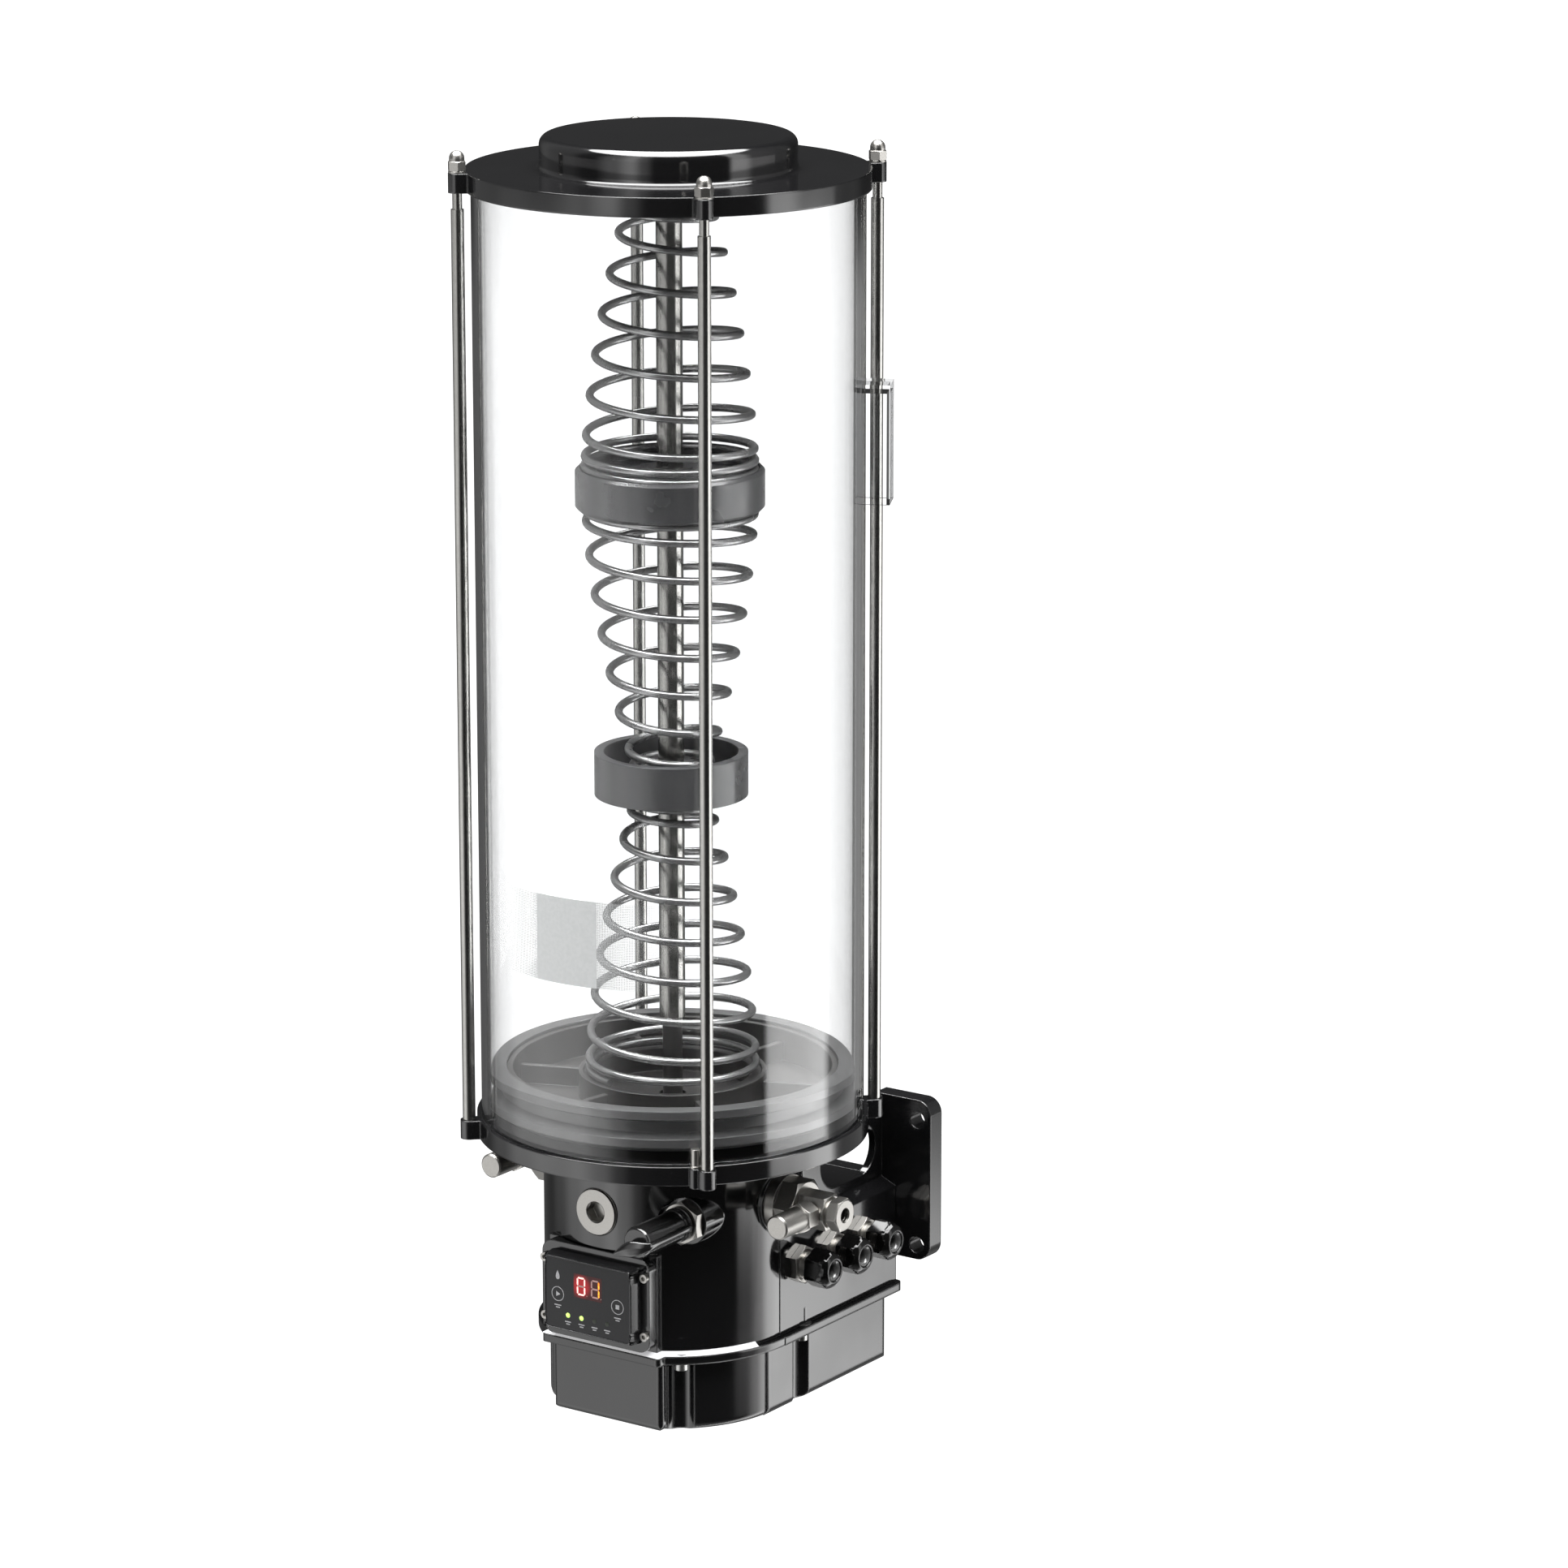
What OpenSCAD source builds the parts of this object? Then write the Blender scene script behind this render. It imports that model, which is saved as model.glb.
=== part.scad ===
// Automatic grease pump: a clear spring-loaded reservoir on a wall-mounted pump housing.
// Millimetres. The origin is on the reservoir axis at the underside of the bottom cover.
// +Z is up, -Y is the side with the display, +X is the side with the cable glands.

/* [Reservoir] */
// Outer radius of the clear tube
tube_r = 120; // [110:0.5:122]
// Wall of the clear tube
tube_wall = 5.5; // [3:0.5:7]
// Clear height between the base flange and the lid
tube_h = 583; // [520:1:640]
// Depth of the tube grooves in the lid and in the flange
groove_h = 3; // [2:0.5:5]
// Thickness of the sealing rings under the tube ends
seal_t = 1; // [0.5:0.1:1.5]

/* [Lid and base flange] */
// How far the lid plate stands out past the tube
lid_over = 3.5; // [2.5:0.5:6]
// Thickness of the lid plate
lid_t = 12; // [8:0.5:16]
// Radius of the raised dome on the lid
dome_r = 78.5; // [60:0.5:90]
// Height of the dome above the lid plate
dome_h = 20.5; // [14:0.5:28]
// Rounding of the dome's upper edge
dome_edge = 6; // [2:0.5:8]
// Wall of the dome
dome_wall = 6; // [4:0.5:9]
// How far the base flange stands out past the tube
flange_over = 3; // [2.5:0.5:6]
// Thickness of the base flange
flange_t = 12; // [9:0.5:16]
// Wall between the throat and the outside of the round body
throat_wall = 9.6; // [8:0.1:15]

/* [Tie rods] */
// Distance of the tie rods' axes from the tube
rod_out = 9; // [8.5:0.5:14]
// Diameter of a tie rod
rod_d = 8; // [7:0.5:9]
// Diameter of the turned-down rod ends
rod_end_d = 6; // [5:0.5:6.5]
// Length of the turned-down neck that shows below the lid
rod_neck = 10; // [4:1:16]
// Outer diameter of the rod lugs on the lid and the flange
lug_d = 11; // [10:0.5:14]
// Width across flats of the cap nuts
cap_af = 10; // [8:0.5:12]
// Height of the hexagon of a cap nut
cap_hex_h = 6; // [4:0.5:8]
// Height of the dome of a cap nut
cap_dome_h = 6.4; // [5:0.2:8]
// Thickness of a cap nut's washer
washer_t = 1.2; // [0.8:0.1:2]

/* [Guide tube and spring cups] */
// Outer diameter of the central guide tube
guide_d = 16.2; // [14:0.2:18]
// Bore of the guide tube
guide_bore = 12.6; // [10:0.2:13]
// Height of the guide tube's lower end above the flange
guide_end = 61.3; // [55:0.5:90]
// How far the guide pin reaches into the guide tube
pin_overlap = 30; // [15:1:60]
// Radius of the upper spring cup
cup_large_r = 58.4; // [57:0.2:62]
// Height of the upper spring cup
cup_large_h = 25.5; // [20:0.5:32]
// Height of the upper cup's underside above the flange
cup_large_z = 385.5; // [375:0.5:395]
// Radius of the lower spring cup
cup_small_r = 47.8; // [44:0.2:52]
// Height of the lower spring cup
cup_small_h = 27; // [20:0.5:32]
// Height of the lower cup's underside above the flange
cup_small_z = 205; // [195:0.5:215]
// Height of the upper cup's web above its underside
cup_web_rise = 10.75; // [9:0.25:12]
// Thickness of the upper cup's web
cup_web_t = 9.4; // [4:0.2:11]
// Wall of the lower spring cup
cup_small_wall = 6; // [4:0.5:8]

/* [Springs] */
// Diameter of the spring wire
wire_d = 5; // [4:0.2:5.6]
// Outer radius of a spring's large end
spring_large_r = 55; // [50:0.5:55.2]
// Outer radius of the upper spring's small end
upper_small_r = 27; // [24:0.2:34]
// Outer radius of the middle spring's small end
middle_small_r = 23.6; // [20:0.2:34]
// Outer radius of the lower spring's small end
lower_small_r = 26; // [22:0.2:34]
// Turns of the upper spring
upper_turns = 10.3; // [9.5:0.05:10.5]
// Turns of the middle spring
middle_turns = 11.05; // [10:0.05:11.5]
// Turns of the lower spring
lower_turns = 9.3; // [8:0.05:9.6]

/* [Follower plate] */
// Height of the follower's underside above the flange
follower_z = 7; // [3:0.5:12]
// Height of the double lip seal on the follower
follower_h = 26; // [22:0.5:32]
// Distance of the follower plate's edge from the tube's bore
follower_seat_in = 10.5; // [8.5:0.5:16]
// Distance of the seal's waist from the tube's bore
waist_in = 7; // [4.5:0.5:8]
// Thickness of each lip at its edge
lip_t = 5; // [3:0.5:6]
// Wall of the follower plate
follower_wall = 4; // [3:0.5:6]
// Height of the spring seat ring on the follower plate
seat_ring_h = 16; // [8:1:22]
// Number of radial ribs on the follower plate
follower_ribs = 6; // [4:1:8]

/* [Pump housing] */
// Height of the pump housing between cover gasket and flange
housing_h = 122.1; // [118:0.1:130]
// Radius of the round part of the housing
body_r = 81.6; // [79:0.2:84]
// How far the box's sides stand out past the round body
box_over = 0.4; // [0:0.1:2]
// How far the box reaches behind the axis
box_back = 131; // [120:0.5:140]
// Drop of the box's shoulder below the flange
shoulder_drop = 58.7; // [55:0.5:62]
// Drop of the box's roof below the flange
roof_drop = 54; // [50:0.5:56]
// Wall of the housing
wall = 6; // [4:0.5:7]
// Depth of the grease chamber below the flange
chamber_h = 60; // [54:0.5:64]
// Thickness of the floor under the grease chamber
floor_t = 8; // [6:0.5:12]

/* [Wall bracket] */
// Half width over the mounting ears
ear_half = 108.5; // [106:0.5:114]
// Thickness of the mounting ears
ear_t = 13; // [8:0.5:16]
// Height of the mounting ears
ear_h = 106.5; // [100:0.5:112]
// How far the ears stand up past the flange's underside
ear_rise = 1.5; // [0:0.5:4]
// Half spacing of the mounting holes across
bolt_half_x = 98.4; // [96:0.2:101]
// Half spacing of the mounting holes in height
bolt_half_z = 41.9; // [39:0.1:44]
// Drop of the mounting holes' middle below the flange
bolt_drop = 53.5; // [51:0.5:56]
// Diameter of the mounting holes
bolt_d = 11; // [9:0.5:12]
// Outer face of the webs that carry the ears
web_x = 71; // [68:0.5:73]
// Thickness of the webs
web_t = 5; // [3:0.5:6]
// Radius of the round-ended window in each web
window_r = 17.5; // [12:0.5:19]

/* [Bottom cover] */
// Height of the bottom cover with its rim
cover_h = 51.6; // [46:0.2:60]
// Thickness of the cover's rim
rim_t = 5.5; // [4:0.5:8]
// How far the rim stands out past the housing
rim_over = 4.2; // [3:0.1:6]
// How far the cover's wall stands back from its rim
rim_inset = 7.5; // [5:0.5:9]
// Wall of the bottom cover
cover_wall = 3; // [2:0.5:4]
// Rounding of the cover's lower edge
cover_edge = 5; // [2:0.5:8]
// Thickness of the gasket under the housing
gasket_t = 0.8; // [0.4:0.1:1.5]
// Radius of the screw recesses in the cover's wall
scoop_r = 9; // [6:0.5:10]

/* [Display] */
// Half width of the display frame and of its boss
frame_half = 41.2; // [39:0.1:44]
// Height of the display frame
frame_h = 61; // [58:0.5:64]
// Thickness of the display frame
frame_t = 7.7; // [5:0.1:9]
// Corner radius of the display frame
frame_corner = 8; // [3:0.5:10]
// How far the display's boss lies in from the round body's front
boss_in = 6.3; // [4:0.1:8]
// Half width of the display case
case_half = 35; // [33:0.5:37]
// Height of the display case
case_h = 50; // [46:0.5:54]
// Depth of the display case
case_t = 9; // [6:0.1:10]
// Half width of the display film
film_half = 32.2; // [30:0.1:33]
// Height of the display film
film_h = 45.6; // [42:0.2:47]
// Height of the display's middle above the housing's lower edge
display_rise = 33.1; // [32:0.1:34]

/* [Ports] */
// Drop of the outlets, plug and filler below the flange
port_drop = 34.5; // [30:0.5:38]
// Diameter of the sealing plug's head
plug_d = 29; // [26:0.5:32]
// Diameter of the plug's thread
plug_thread_d = 22; // [18:0.5:24]
// Distance of the filler from the axis plane
filler_x = 54.5; // [50:0.5:58]
// Radius of the filler's round boss
filler_boss_r = 15; // [12:0.5:16]
// Front face of the filler's boss in front of the axis
filler_face = 62; // [61:0.5:66]
// Diameter of the filler's dust cap
cap_d = 20; // [18:0.5:22]
// Length of the filler's dust cap
cap_len = 43; // [38:0.5:46]

/* [Pump elements] */
// Diameter of an element's collar
collar_d = 37; // [34:0.5:39]
// Thickness of an element's collar
collar_t = 7; // [4:0.2:8]
// Diameter of an element's thread
element_d = 22; // [20:0.5:24]
// Width across flats of an element's hexagon
element_af = 32; // [28:0.5:34]
// Width across flats of an element's outlet body
body_af = 21.3; // [19:0.1:24]
// Length of an element outside the housing
outlet_len = 49; // [46:0.5:54]
// Bore of the outlet nuts
outlet_bore = 9.5; // [8:0.1:10]
// Diameter of the relief valves
valve_d = 15.6; // [14:0.2:17]
// Distance of the relief valves' ends from the outlet axis
valve_len = 45; // [40:0.5:50]
// Distance of the relief valves from the elements' seats
valve_out = 28.5; // [27:0.5:29]
// Diameter of a plunger
plunger_d = 8; // [6:0.5:10]

/* [Drive] */
// Diameter of the drive shaft
shaft_d = 15; // [12:0.5:18]
// Radius of the ring that runs on the eccentric
ring_r = 26; // [24:0.5:28]
// Throw of the eccentric
throw = 4; // [3:0.25:5]
// Radius of the stirrer's arms
stirrer_r = 66; // [56:0.5:67]
// Diameter of the gearbox
gearbox_d = 66; // [60:0.5:70]
// Height of the gearbox
gearbox_h = 38; // [32:0.5:44]
// Diameter of the motor
motor_d = 50; // [44:0.5:56]
// Height of the motor
motor_h = 42; // [34:0.5:48]

/* [Cable glands] */
// Drop of the glands below the flange
gland_drop = 81.3; // [78:0.1:84]
// Place of the front gland behind the axis
gland_y = 22.5; // [21:0.5:25]
// Spacing of the glands
gland_pitch = 34.5; // [32:0.5:36]
// Diameter of a gland's thread
gland_thread_d = 16; // [14:0.5:18]
// Width across flats of a gland's body
gland_af = 22; // [20:0.5:24]
// Width across flats of a gland's nut
gland_nut_af = 22; // [20:0.5:25]
// Bore of a gland's seal
gland_bore = 8; // [6:0.5:9]

/* [Level vent] */
// Direction of the vent cover around the tube, in degrees from the front
vent_angle = 118; // [112:1:121]
// Width of the vent cover
vent_w = 24; // [20:0.5:30]
// Height of the vent cover
vent_h = 74; // [60:1:84]
// How far the vent cover stands out from the tube
vent_out = 16.5; // [12:0.5:18]
// Wall of the vent cover
vent_wall = 2.2; // [1.5:0.1:3]
// Height of the vent cover's top above the flange
vent_top = 466; // [450:1:480]

/* [Hidden] */
$fn = 96;

// Clearances
move_gap = 0.3;
run_gap = 0.05;
seat_gap = 0.1;
hex_ease = 0.15;
cut = 1;

// Heights, from the bottom up
housing_z = cover_h + gasket_t;
flange_z = housing_z + housing_h;
deck_z = flange_z + flange_t;
lid_z = deck_z + tube_h;
lid_top = lid_z + lid_t;
port_z = flange_z - port_drop;
chamber_z = flange_z - chamber_h;
floor_z = chamber_z - floor_t;
gland_z = flange_z - gland_drop;
display_z = housing_z + display_rise;
roof_z = flange_z - roof_drop;
ear_top = flange_z + ear_rise;
ear_low = ear_top - ear_h;
bolt_z = flange_z - bolt_drop;
filler_z = port_z - 1;

// What follows the tube's size
tube_in = tube_r - tube_wall;
lid_r = tube_r + lid_over;
flange_r = tube_r + flange_over;
rod_circle_r = tube_r + rod_out;
follower_seat_r = tube_in - follower_seat_in;
waist_r = tube_in - waist_in;

// Tie rods and nuts
rod_angles = [-45, 45, 135, 225];
lug_fillet = 4;
nut_z = lid_top + washer_t;
rod_hole_d = rod_end_d + 2 * seat_gap;
rod_screw_in = flange_t - 2;
nut_thread = cap_hex_h + 2;

// Guide tube and its seat in the lid
hub_r = 34;
dome_base_fillet = 3;
guide_top = lid_top + dome_h - dome_wall - 2;
pin_d = guide_bore - 2 * seat_gap;
spider_t = 8;
spider_z = deck_z - spider_t - 2;
spider_hub_r = 13;
spider_arm_w = 9;

// Spring cups
cup_skirt = 3;
cup_chamfer = 2;
cup_hub_r = 14;
cup_bore_r = guide_d / 2 + move_gap;
cup_floor_t = 5;
cup_large_low = deck_z + cup_large_z;
cup_web_z = cup_large_low + cup_web_rise;
cup_small_low = deck_z + cup_small_z;

// Follower plate
follower_low = deck_z + follower_z;
bowl_z = follower_low + 0.5;
bowl_t = 3.3;
seat_ring_r = spring_large_r + 1;
seat_ring_wall = 3;
seat_ledge_r = spring_large_r - wire_d - 1;
spring_seat_z = bowl_z + bowl_t + seat_ring_h - 1.5;
rib_t = 4;
rim_drop = 2;
lip_r = tube_in - move_gap;

// Housing, cover and screws
screw_d = 5;
screw_head_d = 8.5;
screw_head_h = 5;
boss_top_rise = 0.5;
box_half = body_r + box_over;
boss_y = body_r - boss_in;
throat_r = body_r - throat_wall;
boss_half_cover = frame_half + rim_over;
boss_front_cover = boss_y + rim_over;
boss_corner = 3;
boss_side = 0.5;
back_over = 2.5;
cover_back = box_back + back_over - rim_inset;
scoop_side_y = 27.7;
scoop_front_angle = 39;
scoop_back_x = 45;
scoop_out = 3;
screw_boss_r = 6.5;
flange_screw_r = (throat_r + body_r) / 2;
countersink_h = 2.6;
bearing_d = 35;
bearing_h = 11;
bearing_step = 1;
hub_z = floor_z - bearing_h;
shaft_seal_h = 4;
shaft_seal_d = 26;
pocket_half = 28;
window_depth = 16;
post_r = 4;
board_t = 1.6;
board_half = box_half - 30;
board_back = box_back - 8;
board_depth = 37;
post_x = board_half - 7;
post_y = [board_back - 29, board_back - 5];
screw_reach = 12;
shaft_reach = 16;
ear_corner = 10;
ear_in = web_x - web_t;
ear_front = box_back - 1;
web_window_y = [78.5, 105.5];
web_window_drop = 48;

// Elements
hex_gap = 0.2;
element_hex_t = 13;
element_in = 46;
element_seat = max(box_half, body_r + move_gap);
outlet_x = element_seat + outlet_len;
valve_x = element_seat + valve_out;
barrel_len = 30;
duct_d = 6;
element_boss_r = 20;
hex_turn = 24.4;
body_turn = 34.7;
nut_turn = 36;
neck_d = 16;
outlet_nut_t = 8;
outlet_nut_af = 19;
shoulder_t = 2;
pipe_depth = 7;
plunger_stop = ring_r + throw + move_gap;

// Colours
cast_black = [0.09, 0.09, 0.10];
nickel = [0.72, 0.70, 0.66];
steel = [0.60, 0.59, 0.56];
dark_grey = [0.27, 0.27, 0.28];
rubber = [0.14, 0.14, 0.14];
clear = [0.85, 0.90, 0.92, 0.35];

// Turns a piece to a direction around the axis, in degrees from the front.
module around(angle, radius) {
    rotate([0, 0, angle])
        translate([0, -radius, 0])
            children();
}

module at_rods() {
    for (angle = rod_angles)
        around(angle, rod_circle_r)
            children();
}

module mirrored_x() {
    children();
    mirror([1, 0, 0]) children();
}

// A rectangle between two corners whose own corners are round.
module round_rect(low, high, r) {
    size = high - low;
    translate([low.x + r, low.y])
        square([size.x - 2 * r, size.y]);
    translate([low.x, low.y + r])
        square([size.x, size.y - 2 * r]);
    for (x = [low.x + r, high.x - r], y = [low.y + r, high.y - r])
        translate([x, y])
            circle(r);
}

// A hexagon prism with both ends turned off at a shallow angle.
module turned_hex(af, h, front = true, back = true) {
    corner = af / 2 / cos(30);
    end_r = af / 2 - hex_ease;
    fall = (corner - end_r) * tan(30);
    intersection() {
        cylinder(r = corner, h = h, $fn = 6);
        union() {
            translate([0, 0, back ? fall : 0])
                cylinder(r = corner + cut, h = h - (back ? fall : 0) - (front ? fall : 0));
            if (back)
                cylinder(r1 = end_r, r2 = corner, h = fall);
            if (front)
                translate([0, 0, h - fall])
                    cylinder(r1 = corner, r2 = end_r, h = fall);
        }
    }
}

// A round plate with one lug for each tie rod.
module lugged_plate(r) {
    circle(r);
    for (angle = rod_angles)
        rotate(angle)
            translate([0, -rod_circle_r]) {
                circle(d = lug_d);
                translate([-lug_d / 2, 0])
                    square([lug_d, lug_d]);
                for (side = [-1, 1])
                    difference() {
                        translate([side > 0 ? lug_d / 2 - cut / 4 : -lug_d / 2 - lug_fillet,
                                rod_circle_r - r - 1])
                            square([lug_fillet + cut / 4, lug_fillet + 3]);
                        translate([side * (lug_d / 2 + lug_fillet), rod_circle_r - r - 1])
                            circle(lug_fillet);
                    }
            }
}

module ring(r_out, r_in, h) {
    difference() {
        cylinder(r = r_out, h = h);
        translate([0, 0, -cut])
            cylinder(r = r_in, h = h + 2 * cut);
    }
}

module lid() {
    color(cast_black)
        difference() {
            union() {
                translate([0, 0, lid_z])
                    linear_extrude(lid_t) lugged_plate(lid_r);
                translate([0, 0, lid_top - cut])
                    rotate_extrude() {
                        square([dome_r - dome_edge, dome_h + cut]);
                        square([dome_r, dome_h + cut - dome_edge]);
                        translate([dome_r - dome_edge, dome_h + cut - dome_edge])
                            circle(dome_edge);
                        translate([dome_r, 0])
                            difference() {
                                translate([-cut, 0])
                                    square([dome_base_fillet + cut, dome_base_fillet + cut]);
                                translate([dome_base_fillet, dome_base_fillet + cut])
                                    circle(dome_base_fillet);
                            }
                    }
            }
            translate([0, 0, lid_z - cut])
                ring(dome_r - dome_wall, hub_r, lid_t + dome_h - dome_wall + cut);
            translate([0, 0, lid_z - cut])
                ring(tube_r + seat_gap, tube_in - seat_gap, groove_h + cut);
            translate([0, 0, lid_z - cut])
                cylinder(d = guide_d + 2 * seat_gap, h = guide_top - lid_z + 2 * cut);
            at_rods()
                translate([0, 0, lid_z - cut])
                    cylinder(d = rod_hole_d, h = lid_t + 2 * cut);
        }
}

module lid_seal() {
    color(rubber)
        translate([0, 0, lid_z + groove_h - seal_t])
            ring(tube_r, tube_in, seal_t);
}

module tube_seal() {
    color(rubber)
        translate([0, 0, deck_z - groove_h])
            ring(tube_r, tube_in, seal_t);
}

module reservoir_tube() {
    color(clear)
        difference() {
            translate([0, 0, deck_z - groove_h + seal_t])
                ring(tube_r, tube_in, tube_h + 2 * (groove_h - seal_t));
            around(vent_angle, tube_r)
                translate([0, 0, deck_z + vent_top - 12])
                    rotate([90, 0, 0])
                        cylinder(d = 8, h = 4 * tube_wall, center = true);
        }
}

module tie_rods() {
    color(steel)
        at_rods() {
            translate([0, 0, deck_z - rod_screw_in])
                cylinder(d = rod_end_d, h = tube_h + lid_t + washer_t + rod_screw_in + nut_thread);
            translate([0, 0, deck_z])
                cylinder(d = rod_d, h = tube_h - rod_neck);
        }
}

module cap_nuts() {
    dome_r_nut = cap_af / 2 - 0.3;
    color(nickel)
        at_rods()
            translate([0, 0, nut_z])
                difference() {
                    union() {
                        turned_hex(cap_af, cap_hex_h);
                        cylinder(r = dome_r_nut, h = cap_hex_h + cap_dome_h - dome_r_nut);
                        translate([0, 0, cap_hex_h + cap_dome_h - dome_r_nut])
                            sphere(dome_r_nut);
                    }
                    translate([0, 0, -cut])
                        cylinder(d = rod_hole_d, h = nut_thread + cut + 0.5);
                }
}

module cap_washers() {
    color(nickel)
        at_rods()
            translate([0, 0, lid_top])
                ring(lug_d / 2 - 0.2, rod_hole_d / 2, washer_t);
}

module guide_tube() {
    color(steel)
        translate([0, 0, deck_z + guide_end])
            ring(guide_d / 2, guide_bore / 2, guide_top - deck_z - guide_end);
}

module guide_pin() {
    color(dark_grey)
        translate([0, 0, spider_z])
            cylinder(d = pin_d, h = deck_z + guide_end + pin_overlap - spider_z);
}

module guide_spider() {
    color(cast_black)
        translate([0, 0, spider_z])
            difference() {
                union() {
                    cylinder(r = spider_hub_r, h = spider_t);
                    ring(throat_r - seat_gap, throat_r - 7, spider_t);
                    for (angle = [0, 120, 240])
                        rotate([0, 0, angle])
                            translate([-spider_arm_w / 2, 0, 1])
                                cube([spider_arm_w, throat_r - 4, spider_t - 2]);
                }
                translate([0, 0, -cut])
                    cylinder(d = guide_bore, h = spider_t + 2 * cut);
            }
}

// The upper spring stands on the upper cup's web, in its open top, and the middle
// spring pushes up against the web from below.
module spring_cup_large() {
    color(dark_grey)
        translate([0, 0, cup_large_low])
            difference() {
                rotate_extrude()
                    polygon([[cup_bore_r, 0], [cup_large_r - cup_chamfer, 0],
                        [cup_large_r, cup_chamfer], [cup_large_r, cup_large_h - cup_chamfer],
                        [cup_large_r - cup_chamfer, cup_large_h], [cup_bore_r, cup_large_h]]);
                for (z = [-cut, cup_web_rise + cup_web_t])
                    translate([0, 0, z])
                        ring(cup_large_r - cup_skirt, cup_hub_r,
                            z > 0 ? cup_large_h : cup_web_rise + cut);
            }
}

module spring_cup_small() {
    color(dark_grey)
        translate([0, 0, cup_small_low])
            difference() {
                cylinder(r = cup_small_r, h = cup_small_h);
                translate([0, 0, cup_floor_t])
                    ring(cup_small_r - cup_small_wall, cup_hub_r, cup_small_h);
                translate([0, 0, -cut])
                    cylinder(r = cup_bore_r, h = cup_small_h + 2 * cut);
                translate([0, 0, cup_small_h - 6])
                    cylinder(r = cup_hub_r + cut, h = 6 + cut);
            }
}

// Springs are cones of round wire. The pitch grows over one turn from the closed
// ends to the free coils, and the turns run left-handed.
end_pitch = 1.2 * wire_d;
cone_bow = 1.6;
wire_steps = 20;
wire_sides = 6;

function coil_rise(turn, turns, closed, length) =
    let (pitch = (length - (2 * closed + 1) * end_pitch) / (turns - 2 * closed - 1),
        from_end = min(turn, turns - turn),
        free = max(0, from_end - closed),
        eased = free < 1 ? pow(free, 2) / 2 : free - 1 / 2,
        rise = end_pitch * from_end + (pitch - end_pitch) * eased)
    turn < turns / 2 ? rise : length - rise;

function coil_radius(share, small_r) =
    spring_large_r - (spring_large_r - small_r) * pow(1 - share, cone_bow) - wire_d / 2;

module cone_spring(low, high, small_r, small_on_top, turns, closed, start_angle) {
    length = high - low - wire_d;
    rings = ceil(turns * wire_steps);
    centres = [for (i = [0 : rings])
        let (turn = i * turns / rings,
            rise = coil_rise(turn, turns, closed, length),
            share = small_on_top ? 1 - rise / length : rise / length,
            r = coil_radius(share, small_r),
            angle = start_angle - 360 * turn)
        [r, angle, low + wire_d / 2 + rise]];
    points = [for (c = centres, k = [0 : wire_sides - 1])
        let (a = 360 * k / wire_sides,
            r = c[0] + wire_d / 2 * cos(a))
        [r * sin(c[1]), -r * cos(c[1]), c[2] + wire_d / 2 * sin(a)]];
    sides = [for (i = [0 : rings - 1], k = [0 : wire_sides - 1])
        let (a = i * wire_sides + k,
            b = i * wire_sides + (k + 1) % wire_sides,
            c = a + wire_sides,
            d = b + wire_sides)
        each [[a, b, d], [a, d, c]]];
    ends = [
        [for (k = [wire_sides - 1 : -1 : 0]) k],
        [for (k = [0 : wire_sides - 1]) rings * wire_sides + k]];
    polyhedron(points, concat(sides, ends));
}

module spring_upper() {
    color(steel)
        cone_spring(cup_web_z + cup_web_t, lid_z, upper_small_r, true, upper_turns,
            1.75, 168);
}

module spring_middle() {
    color(steel)
        cone_spring(cup_small_low + cup_floor_t, cup_web_z, middle_small_r, false,
            middle_turns, 2, 186);
}

module spring_lower() {
    color(steel)
        cone_spring(spring_seat_z, cup_small_low, lower_small_r, true, lower_turns,
            1, 348);
}

module follower_plate() {
    plate_top = follower_low + follower_h - rim_drop;
    color(dark_grey)
        difference() {
            union() {
                translate([0, 0, follower_low + 1])
                    ring(follower_seat_r, follower_seat_r - follower_wall,
                        plate_top - follower_low - 1);
                translate([0, 0, bowl_z])
                    cylinder(r = follower_seat_r - follower_wall / 2, h = bowl_t);
                translate([0, 0, bowl_z])
                    ring(seat_ring_r + seat_ring_wall, seat_ring_r, bowl_t + seat_ring_h);
                translate([0, 0, bowl_z])
                    ring(seat_ring_r + 1, seat_ledge_r, spring_seat_z - bowl_z);
                for (i = [0 : follower_ribs - 1])
                    rotate([0, 0, 360 / follower_ribs * (i + 0.35)])
                        translate([seat_ring_r + 1, -rib_t / 2, bowl_z])
                            cube([follower_seat_r - follower_wall - seat_ring_r, rib_t,
                                bowl_t + seat_ring_h - 4]);
            }
            translate([0, 0, bowl_z - cut])
                cylinder(r = cup_bore_r, h = bowl_t + 2 * cut);
        }
}

// One moulded ring with an upper and a lower lip that wipe the tube.
module follower_seal() {
    color(rubber)
        translate([0, 0, follower_low])
            rotate_extrude()
                difference() {
                    translate([follower_seat_r, 0])
                        square([lip_r - follower_seat_r, follower_h]);
                    translate([waist_r, lip_t + 3])
                        polygon([[0, 3], [lip_r - waist_r + cut, 0],
                            [lip_r - waist_r + cut, follower_h - 2 * lip_t - 3],
                            [0, follower_h - 2 * lip_t - 6]]);
                    translate([lip_r - 4, -cut])
                        polygon([[0, 0], [4 + cut, 0], [4 + cut, 3 + cut + cut * 3 / 4],
                            [4, 3 + cut], [0, cut]]);
                }
}

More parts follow.
